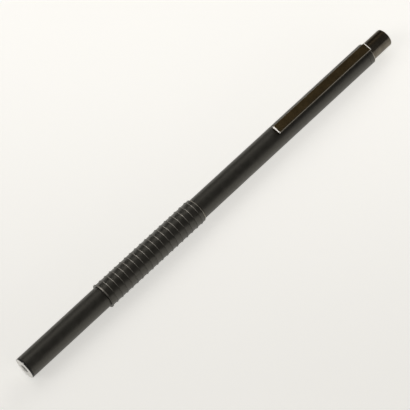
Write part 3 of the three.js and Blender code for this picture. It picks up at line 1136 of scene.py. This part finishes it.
@dataclass(frozen=True)
class NoseSection:
    """The nose bush and the plain tube behind it.

    Attributes:
        lathe: The lathe that turns them.
        flange: The length of the bush's flange, whose face is bare.
        bore: The radius of the bore that guides the tip.
        countersink: How wide and how deep the bore's mouth is broken.
        spring_seat: How far behind the face the spring stands.
        seat_bore: The radius of the bore behind that.
        wall: The tube's wall.
        fit: The gap between the spigot and the tube.
    """

    lathe: Lathe
    flange: float = 0.55 * MM
    bore: float = 1.22 * MM
    countersink: float = 0.22 * MM
    spring_seat: float = 4.6 * MM
    seat_bore: float = 2.3 * MM
    wall: float = BARREL_WALL
    fit: float = FIT

    def bush(self) -> Thing:
        """Turns the bush with its flange, its spigot and its stepped bore.

        Returns:
            The bush.
        """
        at = Reach.of("nose_bush")
        spigot = at.radius - self.wall - self.fit
        return self.lathe.turn("nose_bush_turned", [
            (at.front, self.bore + self.countersink),
            (at.front, at.radius),
            (at.front + self.flange, at.radius),
            (at.front + self.flange, spigot),
            (at.rear, spigot),
            (at.rear, self.seat_bore),
            (at.front + self.spring_seat, self.seat_bore),
            (at.front + self.spring_seat, self.bore),
            (at.front + self.countersink, self.bore),
        ])

    def barrel(self) -> Thing:
        """Turns the tube between the nose and the grip."""
        at = Reach.of("front_barrel")
        return self.lathe.turn("front_barrel_tube", at.tube(at.radius - self.wall))

    def build(self) -> None:
        """Models both pieces and dresses them."""
        height = self.lathe.height
        at = Reach.of("nose_bush")
        steel = NoseSteel(at.front, at.radius, self.bore + self.countersink).material(height)
        seat(self.bush(), Body.FRONT, "nose_bush", steel)
        coat = MatteCoat("front_coat").material(height)
        seat(self.barrel(), Body.FRONT, "front_barrel", coat)


@dataclass(frozen=True)
class RingedGrip:
    """The grip: its front ring, its finned sleeve and its chamfered rear ring.

    Attributes:
        lathe: The lathe that turns them.
        bore: The radius of their bore.
        body: The radius between the fins.
        fin_count: How many fins there are.
        fin_pitch: How far it is from fin to fin.
        fin_length: How long a fin's top is.
        fin_flank: How long the slope before and behind it is.
        chamfer: The size of the rear ring's chamfer.
        ring_round: The bevel of the front ring's edges.
        ring_facets: How many facets that bevel has.
        rim_round: The bevel of the fins' edges.
        rim_facets: How many facets that bevel has.
        line_round: The bevel of the rear ring's edges.
        rubbed_highlight_depth: How deep the bare metal reaches on the fins and the front ring,
            which are worn and show it on their upper side only, as a painted highlight.
        roughness: The coat's mean roughness.
    """

    lathe: Lathe
    bore: float = 2.85 * MM
    body: float = 3.66 * MM
    fin_count: int = 18
    fin_pitch: float = 1.92 * MM
    fin_length: float = 0.16 * MM
    fin_flank: float = 0.04 * MM
    chamfer: float = 0.3 * MM
    ring_round: float = 0.06 * MM
    ring_facets: int = 3
    rim_round: float = 0.04 * MM
    rim_facets: int = 2
    line_round: float = 0.03 * MM
    rubbed_highlight_depth: float = 0.05 * MM
    roughness: float = 0.36

    def front_ring(self) -> Thing:
        """Turns the ring that stands out most.

        Returns:
            The front ring.
        """
        at = Reach.of("grip_front_ring")
        return self.lathe.turn(
            "grip_front_ring_turned", at.tube(self.bore),
            edge=self.ring_round, segments=self.ring_facets,
        )

    def sleeve(self) -> Thing:
        """Turns the sleeve and its fins from one bar.

        Returns:
            The sleeve.
        """
        at = Reach.of("grip_sleeve")
        first = Reach.of("grip_front_ring").middle()
        outline = [(at.front, self.bore), (at.front, self.body)]
        half = self.fin_length / 2
        for fin in range(1, self.fin_count + 1):
            centre = first + fin * self.fin_pitch
            outline += [
                (centre - half - self.fin_flank, self.body),
                (centre - half, at.radius),
                (centre + half, at.radius),
                (centre + half + self.fin_flank, self.body),
            ]
        outline += [(at.rear, self.body), (at.rear, self.bore)]
        return self.lathe.turn(
            "grip_sleeve_turned", outline, edge=self.rim_round, segments=self.rim_facets,
        )

    def rear_ring(self) -> Thing:
        """Turns the ring whose chamfer shows as one bright line.

        Returns:
            The rear ring.
        """
        at = Reach.of("grip_rear_ring")
        return self.lathe.turn("grip_rear_ring_turned", [
            (at.front, self.bore),
            (at.front, self.body),
            (at.rear - self.chamfer, self.body),
            (at.rear, self.body - self.chamfer),
            (at.rear, self.bore),
        ], edge=self.line_round)

    def build(self) -> None:
        """Models the three pieces and dresses them."""
        height = self.lathe.height
        # The fins and the front ring show worn bare metal on their upper side only, a painted
        # highlight
        fins = Reach.of("grip_sleeve").radius - self.rubbed_highlight_depth
        ring = Reach.of("grip_front_ring").radius - self.rubbed_highlight_depth
        chamfer = Reach.of("grip_rear_ring").rear - self.chamfer
        coat = MatteCoat("grip_coat", roughness=self.roughness, rim=fins).material(height)
        front = MatteCoat("front_ring_coat", roughness=self.roughness, rim=ring)
        rear = MatteCoat("rear_ring_coat", roughness=self.roughness, bare_from=chamfer)
        seat(self.front_ring(), Body.FRONT, "grip_front_ring", front.material(height))
        seat(self.sleeve(), Body.FRONT, "grip_sleeve", coat)
        seat(self.rear_ring(), Body.FRONT, "grip_rear_ring", rear.material(height))


@dataclass(frozen=True)
class RearBarrel:
    """The long rear tube, the ring that closes it and the insert in its mouth.

    Attributes:
        lathe: The lathe that turns them.
        wall: The tube's wall, and the end ring's behind the tube.
        rebate: The length of the rebate under the end ring's skirt.
        rebate_depth: How deep it is.
        skirt_wall: The skirt's wall.
        ring_length: The length of the end ring behind the tube.
        notch_length: The length of the notch for the clip's hook.
        notch_width: How wide it is.
        notch_depth: How deep it is.
        ring_round: The bevel of the end ring's edges.
        bare_rim: The length of the end ring's bare rim.
        screw: The radius of the screw that goes into the insert.
        fit: The gap between the screw and the insert.
    """

    lathe: Lathe
    wall: float = BARREL_WALL
    rebate: float = 1.0 * MM
    rebate_depth: float = 0.23 * MM
    skirt_wall: float = 0.2 * MM
    ring_length: float = 0.6 * MM
    notch_length: float = 0.47 * MM
    notch_width: float = 2.98 * MM
    notch_depth: float = 0.33 * MM
    ring_round: float = 0.04 * MM
    bare_rim: float = 0.13 * MM
    screw: float = SCREW_RADIUS
    fit: float = FIT

    def barrel(self) -> Thing:
        """Turns the tube with the rebate under the end ring's skirt.

        Returns:
            The tube.
        """
        at = Reach.of("rear_barrel")
        bore = at.radius - self.wall
        rebate = at.rear - self.rebate
        return self.lathe.turn("rear_barrel_tube", [
            (at.front, bore),
            (at.front, at.radius),
            (rebate, at.radius),
            (rebate, at.radius - self.rebate_depth),
            (at.rear, at.radius - self.rebate_depth),
            (at.rear, bore),
        ])

    def end_ring(self) -> Thing:
        """Turns the end ring and cuts the notch for the clip's hook.

        Returns:
            The end ring.
        """
        at = Reach.of("end_ring")
        inner = at.rear - self.ring_length
        piece = self.lathe.turn("end_ring_turned", [
            (at.front, at.radius - self.skirt_wall),
            (at.front, at.radius),
            (at.rear, at.radius),
            (at.rear, at.radius - self.wall),
            (inner, at.radius - self.wall),
            (inner, at.radius - self.skirt_wall),
        ], edge=0)
        cutter = add_block(
            Vector((at.rear, 0, self.lathe.height + at.radius)),
            Vector((2 * self.notch_length, self.notch_width, 2 * self.notch_depth)),
        )
        pick(piece)
        apply_modifier(piece, "BOOLEAN", object=cutter, operation="DIFFERENCE", solver="EXACT")
        bpy.data.objects.remove(cutter)
        break_edges(piece, self.ring_round)
        return piece

    def insert(self) -> Thing:
        """Turns the brass insert.

        Returns:
            The insert.
        """
        at = Reach.of("thread_insert")
        bore = self.screw + self.fit
        return self.lathe.turn("thread_insert_turned", at.tube(bore), sides=INNER_SIDES)

    def build(self) -> None:
        """Models the three pieces and dresses them."""
        height = self.lathe.height
        coat = MatteCoat("rear_coat").material(height)
        seat(self.barrel(), Body.REAR, "rear_barrel", coat)
        rim = MatteCoat("end_ring_coat", bare_from=Reach.of("end_ring").rear - self.bare_rim)
        seat(self.end_ring(), Body.REAR, "end_ring", rim.material(height))
        brass = Metal("insert_brass", BRASS_TONE, roughness=0.32).material(height)
        seat(self.insert(), Body.REAR, "thread_insert", brass)


@dataclass(frozen=True)
class PocketClip:
    """The clip, folded from sheet, with a hook at its rear.

    Attributes:
        lathe: The lathe, for the height of the pen's axis.
        sheet: The sheet's thickness.
        low: How high over the axis the clip's lower edge is.
        end_bend: The radius of the bend at either end.
        end_facets: How many facets it has.
        side_bend: The radius of the bend along either side.
        side_facets: How many facets it has.
        corner_bend: The radius of the four upright corners.
        corner_facets: How many facets they have.
        edge: The bevel of the sheet's own edges.
        edge_facets: How many facets that bevel has.
        tone: The chrome's colour.
        worn_highlight_front: The length at the front that shows bright bare metal, worn and a
            painted highlight.
        worn_highlight_rear: The length at the rear that shows it.
        worn_highlight_rise: How far above the end bends' start that bare metal starts.
        flank: The width of the greyer side edges.
    """

    lathe: Lathe
    sheet: float = 0.42 * MM
    low: float = 3.35 * MM
    end_bend: float = 0.5 * MM
    end_facets: int = 8
    side_bend: float = 0.27 * MM
    side_facets: int = 5
    corner_bend: float = 0.12 * MM
    corner_facets: int = 3
    edge: float = 0.035 * MM
    edge_facets: int = 2
    tone: Colour = (0.23, 0.163, 0.077)
    worn_highlight_front: float = 0.5 * MM
    worn_highlight_rear: float = 0.6 * MM
    worn_highlight_rise: float = 0.06 * MM
    flank: float = 0.2 * MM

    def bend_block(self, piece: Thing, floor: float, high: Vector) -> None:
        """Rounds the block's ends, its sides and its lower corners, in edit mode.

        Args:
            piece: The block.
            floor: The height of its underside.
            high: Its highest corner.
        """
        def on_side(a: Vector, b: Vector) -> bool:
            """Whether an edge lies on one of the two long sides."""
            return abs(abs(a.y) - high.y) < NEAR and abs(a.y - b.y) < NEAR

        def across_end(a: Vector, b: Vector) -> bool:
            """Whether an edge runs across the top at either end."""
            return abs(a.x - b.x) < NEAR and min(a.z, b.z) > high.z - NEAR

        def along_side(a: Vector, b: Vector) -> bool:
            """Whether an edge is one of a side's upper ones, round the ends too."""
            upper = (a.z + b.z) / 2 > high.z - self.end_bend - NEAR
            return on_side(a, b) and upper and abs(a.x - b.x) > NEAR

        def at_corner(a: Vector, b: Vector) -> bool:
            """Whether an edge is one of the four upright ones."""
            return on_side(a, b) and abs(a.x - b.x) < NEAR and min(a.z, b.z) < floor + NEAR

        for wanted, offset, segments in (
            (across_end, self.end_bend, self.end_facets),
            (along_side, self.side_bend, self.side_facets),
            (at_corner, self.corner_bend, self.corner_facets),
        ):
            select_edges(piece, wanted)
            bpy.ops.mesh.bevel(offset=offset, segments=segments)

    def clip(self) -> Thing:
        """Shapes the clip from a block: bent at its edges, hollowed and hooked.

        Returns:
            The clip.
        """
        low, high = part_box("clip")
        floor = self.lathe.height + self.low
        size = Vector((high.x - low.x, high.y - low.y, high.z - floor))
        piece = add_block(high - size / 2, size)
        label(piece, "clip_folded")
        bpy.ops.object.mode_set(mode="EDIT")
        self.bend_block(piece, floor, high)
        # Hollow it from below, so that a shell as thick as the sheet stays
        select_faces(piece, lambda middle, normal: normal.z < -FACING)
        bpy.ops.mesh.inset(thickness=self.sheet)
        bpy.ops.mesh.extrude_region_move(
            TRANSFORM_OT_translate={"value": (0, 0, size.z - self.sheet)}
        )
        # Draw the rear wall down into the hook
        select_faces(piece, lambda middle, normal: (
            normal.z < -FACING and abs(middle.z - floor) < NEAR
            and middle.x > high.x - self.sheet and abs(middle.y) < size.y / 4
        ))
        bpy.ops.mesh.extrude_region_move(TRANSFORM_OT_translate={"value": (0, 0, low.z - floor)})
        close_up()
        bpy.ops.object.mode_set(mode="OBJECT")
        break_edges(piece, self.edge, self.edge_facets)
        weigh_normals(piece)
        return piece

    def build(self) -> None:
        """Models the clip and dresses it."""
        low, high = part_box("clip")
        # The bright bare metal on the bends' tops is worn chrome and also a painted highlight
        chrome = BrownChrome(
            "clip_chrome", self.tone,
            worn=(low.x + self.worn_highlight_front, high.x - self.worn_highlight_rear),
            worn_highlight_above=high.z - self.lathe.height - self.end_bend + self.worn_highlight_rise,
            flank=high.y - self.flank,
        )
        seat(self.clip(), Body.CLIP, "clip", chrome.material(self.lathe.height))


@dataclass(frozen=True)
class ClickMechanism:
    """The push button and the cams that hold the refill out or in.

    Attributes:
        lathe: The lathe that turns the button.
        stem_bore: The radius of the button's bore.
        bore_end: How deep the bore is.
        edge_radius: The radius of the button's rounded end.
        tone: The button's colour on its near side.
        far_side_shade: A darker colour painted on its far side, a painted shade.
        roughness: Its mean roughness.
    """

    lathe: Lathe
    stem_bore: float = 1.93 * MM
    bore_end: float = 6.04 * MM
    edge_radius: float = 0.4 * MM
    tone: Colour = (0.17, 0.150, 0.120)
    far_side_shade: Colour = (0.060, 0.045, 0.028)
    roughness: float = 0.26

    def button(self) -> Thing:
        """Turns the button with its rounded end.

        Returns:
            The button.
        """
        at = Reach.of("push_button")
        return self.lathe.turn("push_button_turned", [
            (at.front + self.bore_end, 0),
            (at.front + self.bore_end, self.stem_bore),
            (at.front, self.stem_bore),
            (at.front, at.radius),
            *rounded_end(at.rear, at.radius, self.edge_radius),
            (at.rear, 0),
        ])

    def build(self) -> None:
        """Models the button and dresses it and the cams."""
        height = self.lathe.height
        # The button's far side is darkened, a painted shade
        chrome = BrownChrome("button_chrome", self.tone, self.roughness, far_side_shade=self.far_side_shade)
        seat(self.button(), Body.BUTTON, "push_button", chrome.material(height))
        white = Moulded("cam_white", (0.66, 0.64, 0.58), roughness=0.45).material(height)
        dress("rotor_cam", white)
        dress("thrust_cam", white)
        dress("cam_body", Moulded("cam_grey", DARK_GREY, roughness=0.5).material(height))
        steel = Metal("retainer_steel", (0.45, 0.44, 0.42), roughness=0.35).material(height)
        dress("cam_retainer", steel)


@dataclass(frozen=True)
class Refill:
    """The refill: nozzle, ball, tube, ink, collar and plug.

    Attributes:
        lathe: The lathe that turns the first three.
        radius: The tube's radius.
        wall: The tube's wall.
        nozzle: The nozzle's radius before its shoulder.
        tip_face: The radius of the flat face round the ball.
        cone: The length of the nozzle's cone.
        shoulder: How far behind the tip the nozzle's shoulder starts.
        body: How far behind the tip the tube starts.
        channel: The radius of the ink's channel.
        fit: The gap round the ball, and between the nozzle and the tube.
        socket_floor: How far behind the ball its socket ends.
        crimp_place: How far behind the tube's front end the crimp is.
        crimp_depth: How deep it is.
        crimp_length: How long it is to either side.
    """

    lathe: Lathe
    radius: float = 1.5 * MM
    wall: float = 0.25 * MM
    nozzle: float = 1.17 * MM
    tip_face: float = 0.65 * MM
    cone: float = 2.9 * MM
    shoulder: float = 8.5 * MM
    body: float = 10.86 * MM
    channel: float = 0.25 * MM
    fit: float = FIT
    socket_floor: float = 0.1 * MM
    crimp_place: float = 1.0 * MM
    crimp_depth: float = 0.05 * MM
    crimp_length: float = 0.3 * MM

    def point(self) -> Thing:
        """Turns the nozzle with the socket and the lip that hold the ball.

        Returns:
            The nozzle.
        """
        at = Reach.of("refill_nozzle")
        ball = Reach.of("writing_ball")
        middle = ball.middle()
        socket = ball.radius + self.fit
        lip = math.sqrt(ball.radius ** 2 - (middle - at.front) ** 2) + self.fit / 2
        bore = self.radius - self.wall - self.fit
        return self.lathe.turn("refill_nozzle_turned", [
            (at.front, lip),
            (at.front, self.tip_face),
            (at.front + self.cone, self.nozzle),
            (at.front + self.shoulder, self.nozzle),
            (at.front + self.shoulder + self.radius - self.nozzle, self.radius),
            (at.front + self.body, self.radius),
            (at.front + self.body, bore),
            (at.rear, bore),
            (at.rear, self.channel),
            (middle + ball.radius + self.socket_floor, self.channel),
            (middle + socket / 2, socket),
            (middle, socket),
        ], sides=INNER_SIDES, edge=FINE_BREAK)

    def ball(self) -> Thing:
        """Turns the ball.

        Returns:
            The ball.
        """
        at = Reach.of("writing_ball")
        steps = 4 * ARC_STEPS
        outline = [(at.front, 0)]
        for step in range(1, steps):
            angle = step / steps * math.pi
            outline.append((
                at.middle() - at.radius * math.cos(angle), at.radius * math.sin(angle),
            ))
        outline.append((at.rear, 0))
        return self.lathe.turn("writing_ball_turned", outline, sides=INNER_SIDES, edge=0)

    def tube(self) -> Thing:
        """Turns the tube with the crimp that holds the nozzle.

        Returns:
            The tube.
        """
        at = Reach.of("refill_tube")
        crimp = at.front + self.crimp_place
        return self.lathe.turn("refill_tube_drawn", [
            (at.front, self.radius - self.wall),
            (at.front, self.radius),
            (crimp - self.crimp_length, self.radius),
            (crimp, self.radius - self.crimp_depth),
            (crimp + self.crimp_length, self.radius),
            (at.rear, self.radius),
            (at.rear, self.radius - self.wall),
        ], sides=INNER_SIDES, edge=FINE_BREAK)

    def build(self) -> None:
        """Models the nozzle, the ball and the tube and dresses them and the rest."""
        height = self.lathe.height
        nozzle = Metal("nozzle_steel", (0.58, 0.57, 0.54), roughness=0.26).material(height)
        seat(self.point(), Body.REFILL, "refill_nozzle", nozzle)
        ball = Metal("ball_steel", (0.60, 0.60, 0.60), roughness=0.18).material(height)
        seat(self.ball(), Body.REFILL, "writing_ball", ball)
        drawn = Metal(
            "tube_steel", (0.48, 0.47, 0.45), roughness=0.3, lines=0.05 * MM, drawn=60,
        )
        seat(self.tube(), Body.REFILL, "refill_tube", drawn.material(height))
        ink = Moulded("blue_ink", (0.006, 0.010, 0.075), roughness=0.3)
        dress("ink_column", ink.material(height))
        brass = Metal("collar_brass", BRASS_TONE, roughness=0.34)
        dress("refill_collar", brass.material(height))
        dress("refill_plug", Moulded("plug_grey", DARK_GREY, roughness=0.5).material(height))


@dataclass(frozen=True)
class Connector:
    """The brass tube that joins the two halves, its O-ring and the return spring.

    Attributes:
        lathe: The lathe that turns and winds them.
        bore: The radius of the tube's bore before the screw.
        screw_length: How far the screw's shoulder is from the tube's rear end.
        screw: The radius of the screw's neck and of its thread.
        root: The screw's radius between the thread's turns.
        screw_bore: The radius of the bore in the screw.
        step_back: How far before the shoulder the bore narrows.
        neck: The length of the screw's plain neck.
        pitch: The thread's pitch.
        thread_turns: How many turns the thread has.
        ridge: The radius of the thread's section.
        ridge_corners: How many corners that section has.
        o_ring_section: The radius of the O-ring's section.
        o_ring_flat: The share of that radius at which its inside is pressed flat.
        wire: The radius of the spring's wire.
        wire_corners: How many corners the wire's section has.
        wire_steps: How many steps a turn of the spring has.
        end_pitch: The pitch of the spring's first and last turns.
        open_turns: How many open turns lie between those.
        stroke: How much shorter the pressed button makes the spring; not used.
    """

    lathe: Lathe
    bore: float = 2.3 * MM
    screw_length: float = 8.0 * MM
    screw: float = SCREW_RADIUS
    root: float = 2.26 * MM
    screw_bore: float = 1.9 * MM
    step_back: float = 0.85 * MM
    neck: float = 1.2 * MM
    pitch: float = 0.5 * MM
    thread_turns: int = 12
    ridge: float = 0.13 * MM
    ridge_corners: int = 3
    o_ring_section: float = 0.18 * MM
    o_ring_flat: float = 0.9
    wire: float = 0.2 * MM
    wire_corners: int = 12
    wire_steps: int = 48
    end_pitch: float = 0.86 * MM
    open_turns: int = 11
    stroke: float = 5.0 * MM

    def screw_tube(self) -> Thing:
        """Turns the tube and joins the thread's winding to its end.

        Returns:
            The tube.
        """
        at = Reach.of("connector_tube")
        shoulder = at.rear - self.screw_length
        piece = self.lathe.turn("connector_tube_turned", [
            (at.front, self.bore),
            (at.front, at.radius),
            (shoulder, at.radius),
            (shoulder, self.screw),
            (shoulder + self.neck, self.screw),
            (shoulder + self.neck + self.screw - self.root, self.root),
            (at.rear, self.root),
            (at.rear, self.screw_bore),
            (shoulder - self.step_back, self.screw_bore),
            (shoulder - self.step_back, self.bore),
        ], sides=INNER_SIDES)
        thread = self.lathe.coil(
            "thread",
            section=self.ridge,
            radius=self.screw - self.ridge,
            start=shoulder + self.neck + self.pitch,
            stretches=[(self.pitch, self.thread_turns)],
            corners=self.ridge_corners,
            steps=INNER_SIDES,
        )
        pick(piece)
        apply_modifier(piece, "BOOLEAN", object=thread, operation="UNION", solver="EXACT")
        bpy.data.objects.remove(thread)
        break_edges(piece, width=0)
        return piece

    def o_ring(self) -> Thing:
        """Turns the O-ring, pressed flat where it sits on the screw's neck.

        Returns:
            The O-ring.
        """
        at = Reach.of("o_ring")
        section = self.o_ring_section
        centre = at.radius - section
        flat = centre - self.o_ring_flat * section
        corners = 3 * ARC_STEPS
        outline = []
        for step in range(corners):
            angle = step / corners * 2 * math.pi
            radius = max(centre + section * math.cos(angle), flat)
            outline.append((at.middle() + section * math.sin(angle), radius))
        return self.lathe.turn("o_ring_pressed", outline, sides=INNER_SIDES, edge=0)

    def spring(self) -> Thing:
        """Winds the return spring with a close turn at each end.

        Returns:
            The spring.
        """
        at = Reach.of("return_spring")
        start = at.front + self.wire
        room = at.rear - self.wire - start - 2 * self.end_pitch
        close_turn = (self.end_pitch, 1)
        return self.lathe.coil(
            "return_spring_wound",
            section=self.wire,
            radius=at.radius - self.wire,
            start=start,
            stretches=[close_turn, (room / self.open_turns, self.open_turns), close_turn],
            corners=self.wire_corners,
            steps=self.wire_steps,
        )

    def build(self) -> None:
        """Models the three pieces and dresses them, and gives the spring its own mesh."""
        height = self.lathe.height
        brass = Metal("tube_brass", BRASS_TONE, roughness=0.3).material(height)
        seat(self.screw_tube(), Body.FRONT, "connector_tube", brass)
        rubber = Moulded("ring_rubber", (0.012, 0.012, 0.013), roughness=0.6).material(height)
        seat(self.o_ring(), Body.FRONT, "o_ring", rubber)
        wire = Metal("wire_steel", (0.50, 0.49, 0.47), roughness=0.28, lines=0.03 * MM)
        spring = self.spring()
        seat(spring, Body.FRONT, "return_spring", wire.material(height))
        at = Reach.of("return_spring")
        self.lathe.centre(at.front)
        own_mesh(spring)


# Studio


@dataclass(frozen=True)
class Softbox:
    """One rectangular soft light that faces the pen.

    Attributes:
        name: The light's name.
        direction: Where it hangs from the pen.
        size: Its width and height.
        power: Its power in watts.
        colour: Its colour.
        distance: How far away it hangs.
    """

    name: str
    direction: Triple
    size: Pair
    power: float
    colour: Colour
    distance: float = 1.3

    def hang(self) -> None:
        """Adds the light and turns it to the pen."""
        data = bpy.data.lights.new(self.name, "AREA")
        data.shape = "RECTANGLE"
        data.size, data.size_y = self.size
        data.energy = self.power
        data.color = self.colour
        light = bpy.data.objects.new(self.name, data)
        bpy.context.scene.collection.objects.link(light)
        towards = Vector(self.direction).normalized()
        light.location = towards * self.distance
        light.rotation_mode = "QUATERNION"
        light.rotation_quaternion = towards.to_track_quat("Z", "Y")


@dataclass(frozen=True)
class Studio:
    """The floor, the lights and the camera.

    Attributes:
        lathe: The lathe, for the height of the pen's axis.
        azimuth: The camera's direction round the pen, in degrees.
        elevation: The camera's height above the horizon, in degrees.
        roll: How far the camera is turned about its line of sight, in degrees.
        distance: How far it is from what it aims at.
        focal: Its focal length in pixels of the picture.
        aim: The point that it aims at, measured from the axis at the pen's middle.
        aim_right: How far its aim is moved to its right.
        aim_up: How far its aim is moved up in the picture.
        picture_width: The picture's width in pixels.
        sensor: The camera's film width in millimetres.
        nearest: How near to the camera it starts to see.
        farthest: How far away it stops.
        floor_size: The floor's side.
        floor_dark: The floor's darker shade.
        floor_light: The floor's lighter shade.
        floor_cloud: The size of its clouds of lighter and darker shade.
        floor_roughness: Its roughness.
        floor_sheen: The strength of its mirror reflection.
        glow_tone: The colour of the floor's own glow.
        floor_glow: The floor's own glow far from and near to the camera.
        floor_reach: How far from the pen the glow reaches either value.
        softboxes: The lights.
        fill_tone: The colour of the light from all round.
        fill_strength: How strong that light is.
    """

    lathe: Lathe
    azimuth: float = -44.303
    elevation: float = 63.765
    roll: float = -1.45
    distance: float = 560.6 * MM
    focal: float = 2028.1
    aim: Triple = (-3.62 * MM, 0, 0)
    aim_right: float = 0.719 * MM
    aim_up: float = -0.042 * MM
    picture_width: int = 410
    sensor: float = 36
    nearest: float = 0.01
    farthest: float = 20
    floor_size: float = 14
    floor_dark: Colour = (0.83, 0.82, 0.79)
    floor_light: Colour = (0.87, 0.86, 0.83)
    floor_cloud: float = 60 * MM
    floor_roughness: float = 0.9
    floor_sheen: float = 0.2
    glow_tone: Colour = (1.0, 0.985, 0.945)
    floor_glow: Pair = (0.68, 0.54)
    floor_reach: float = 70 * MM
    softboxes: tuple[Softbox, ...] = (
        Softbox("key", (0.8, 0.42, 0.5), (0.9, 0.8), 2.8, (1.0, 0.98, 0.95)),
        Softbox("top", (0.0, 0.6, 0.8), (0.9, 0.8), 1.6, (1.0, 0.98, 0.95)),
        Softbox("fill", (-0.8, 0.3, 0.6), (0.8, 0.7), 2.8, (1.0, 0.99, 0.97)),
        Softbox("front", (0.3, -0.9, 0.22), (1.6, 0.5), 1.8, (1.0, 0.98, 0.96)),
    )
    fill_tone: Colour = (1.0, 0.97, 0.92)
    fill_strength: float = 0.1

    def camera(self) -> None:
        """Sets the camera where the photograph was taken from."""
        turn = math.radians(self.azimuth)
        rise = math.radians(self.elevation)
        back = Vector((
            math.sin(turn) * math.cos(rise),
            -math.cos(turn) * math.cos(rise),
            math.sin(rise),
        ))
        level = Vector((0, 0, 1)).cross(back).normalized()
        upright = back.cross(level)
        roll = math.radians(self.roll)
        right = math.cos(roll) * level + math.sin(roll) * upright
        up = math.cos(roll) * upright - math.sin(roll) * level
        target = Vector(self.aim) + Vector((0, 0, self.lathe.height))
        target += self.aim_right * right + self.aim_up * up
        data = bpy.data.cameras.new("camera")
        data.sensor_width = self.sensor
        data.lens = self.focal / self.picture_width * self.sensor
        data.clip_start = self.nearest
        data.clip_end = self.farthest
        camera = bpy.data.objects.new("camera", data)
        bpy.context.scene.collection.objects.link(camera)
        camera.matrix_world = Matrix((
            (right.x, up.x, back.x, 0),
            (right.y, up.y, back.y, 0),
            (right.z, up.z, back.z, 0),
            (0, 0, 0, 1),
        ))
        camera.location = target + self.distance * back
        bpy.context.scene.camera = camera

    def floor(self) -> None:
        """Lays the pale floor, which glows with painted light that lifts the pen's shadow."""
        clear_selection()
        bpy.ops.mesh.primitive_plane_add(size=self.floor_size)
        floor = bpy.context.object
        floor.name = "floor"
        sheet = NodeSheet("floor_paper", 0)
        cloud = sheet.grain(self.floor_cloud, detail=3)
        sheet.into("Base Color", sheet.blend(cloud, self.floor_dark, self.floor_light))
        sheet.into("Roughness", self.floor_roughness)
        sheet.into("Specular IOR Level", self.floor_sheen)
        # Painted light: the floor glows, more away from the camera and less towards it, which
        # lifts the pen's shadow
        sheet.into("Emission Color", self.glow_tone)
        nearer = sheet.node("ShaderNodeVectorMath", operation="DOT_PRODUCT")
        sheet.join(sheet.place, nearer.inputs[0])
        turn = math.radians(self.azimuth)
        nearer.inputs[1].default_value = (math.sin(turn), -math.cos(turn), 0)
        fall = sheet.spread(nearer.outputs["Value"], -self.floor_reach, self.floor_reach)
        sheet.into("Emission Strength", sheet.between(fall, *self.floor_glow))
        floor.data.materials.append(sheet.material)

    def world(self) -> None:
        """Fills the studio with dim warm light."""
        world = bpy.data.worlds.new("studio")
        world.use_nodes = True
        background = world.node_tree.nodes["Background"]
        background.inputs["Color"].default_value = (*self.fill_tone, 1)
        background.inputs["Strength"].default_value = self.fill_strength
        bpy.context.scene.world = world

    def build(self) -> None:
        """Sets up the whole studio."""
        self.camera()
        self.floor()
        self.world()
        for softbox in self.softboxes:
            softbox.hang()
        scene = bpy.context.scene
        scene.view_settings.view_transform = "Standard"
        scene.view_settings.look = "None"


def main() -> None:
    """Builds the pen's sub-assemblies in order, then the studio round them."""
    logging.basicConfig(level=logging.INFO, format="%(name)s: %(message)s", force=True)
    low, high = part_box("grip_front_ring")
    lathe = Lathe((low.z + high.z) / 2)
    for assembly in (
        NoseSection(lathe),
        RingedGrip(lathe),
        RearBarrel(lathe),
        PocketClip(lathe),
        ClickMechanism(lathe),
        Refill(lathe),
        Connector(lathe),
    ):
        assembly.build()
        log.info("%s is done", type(assembly).__name__)
    Studio(lathe).build()


if __name__ == "__main__":
    main()
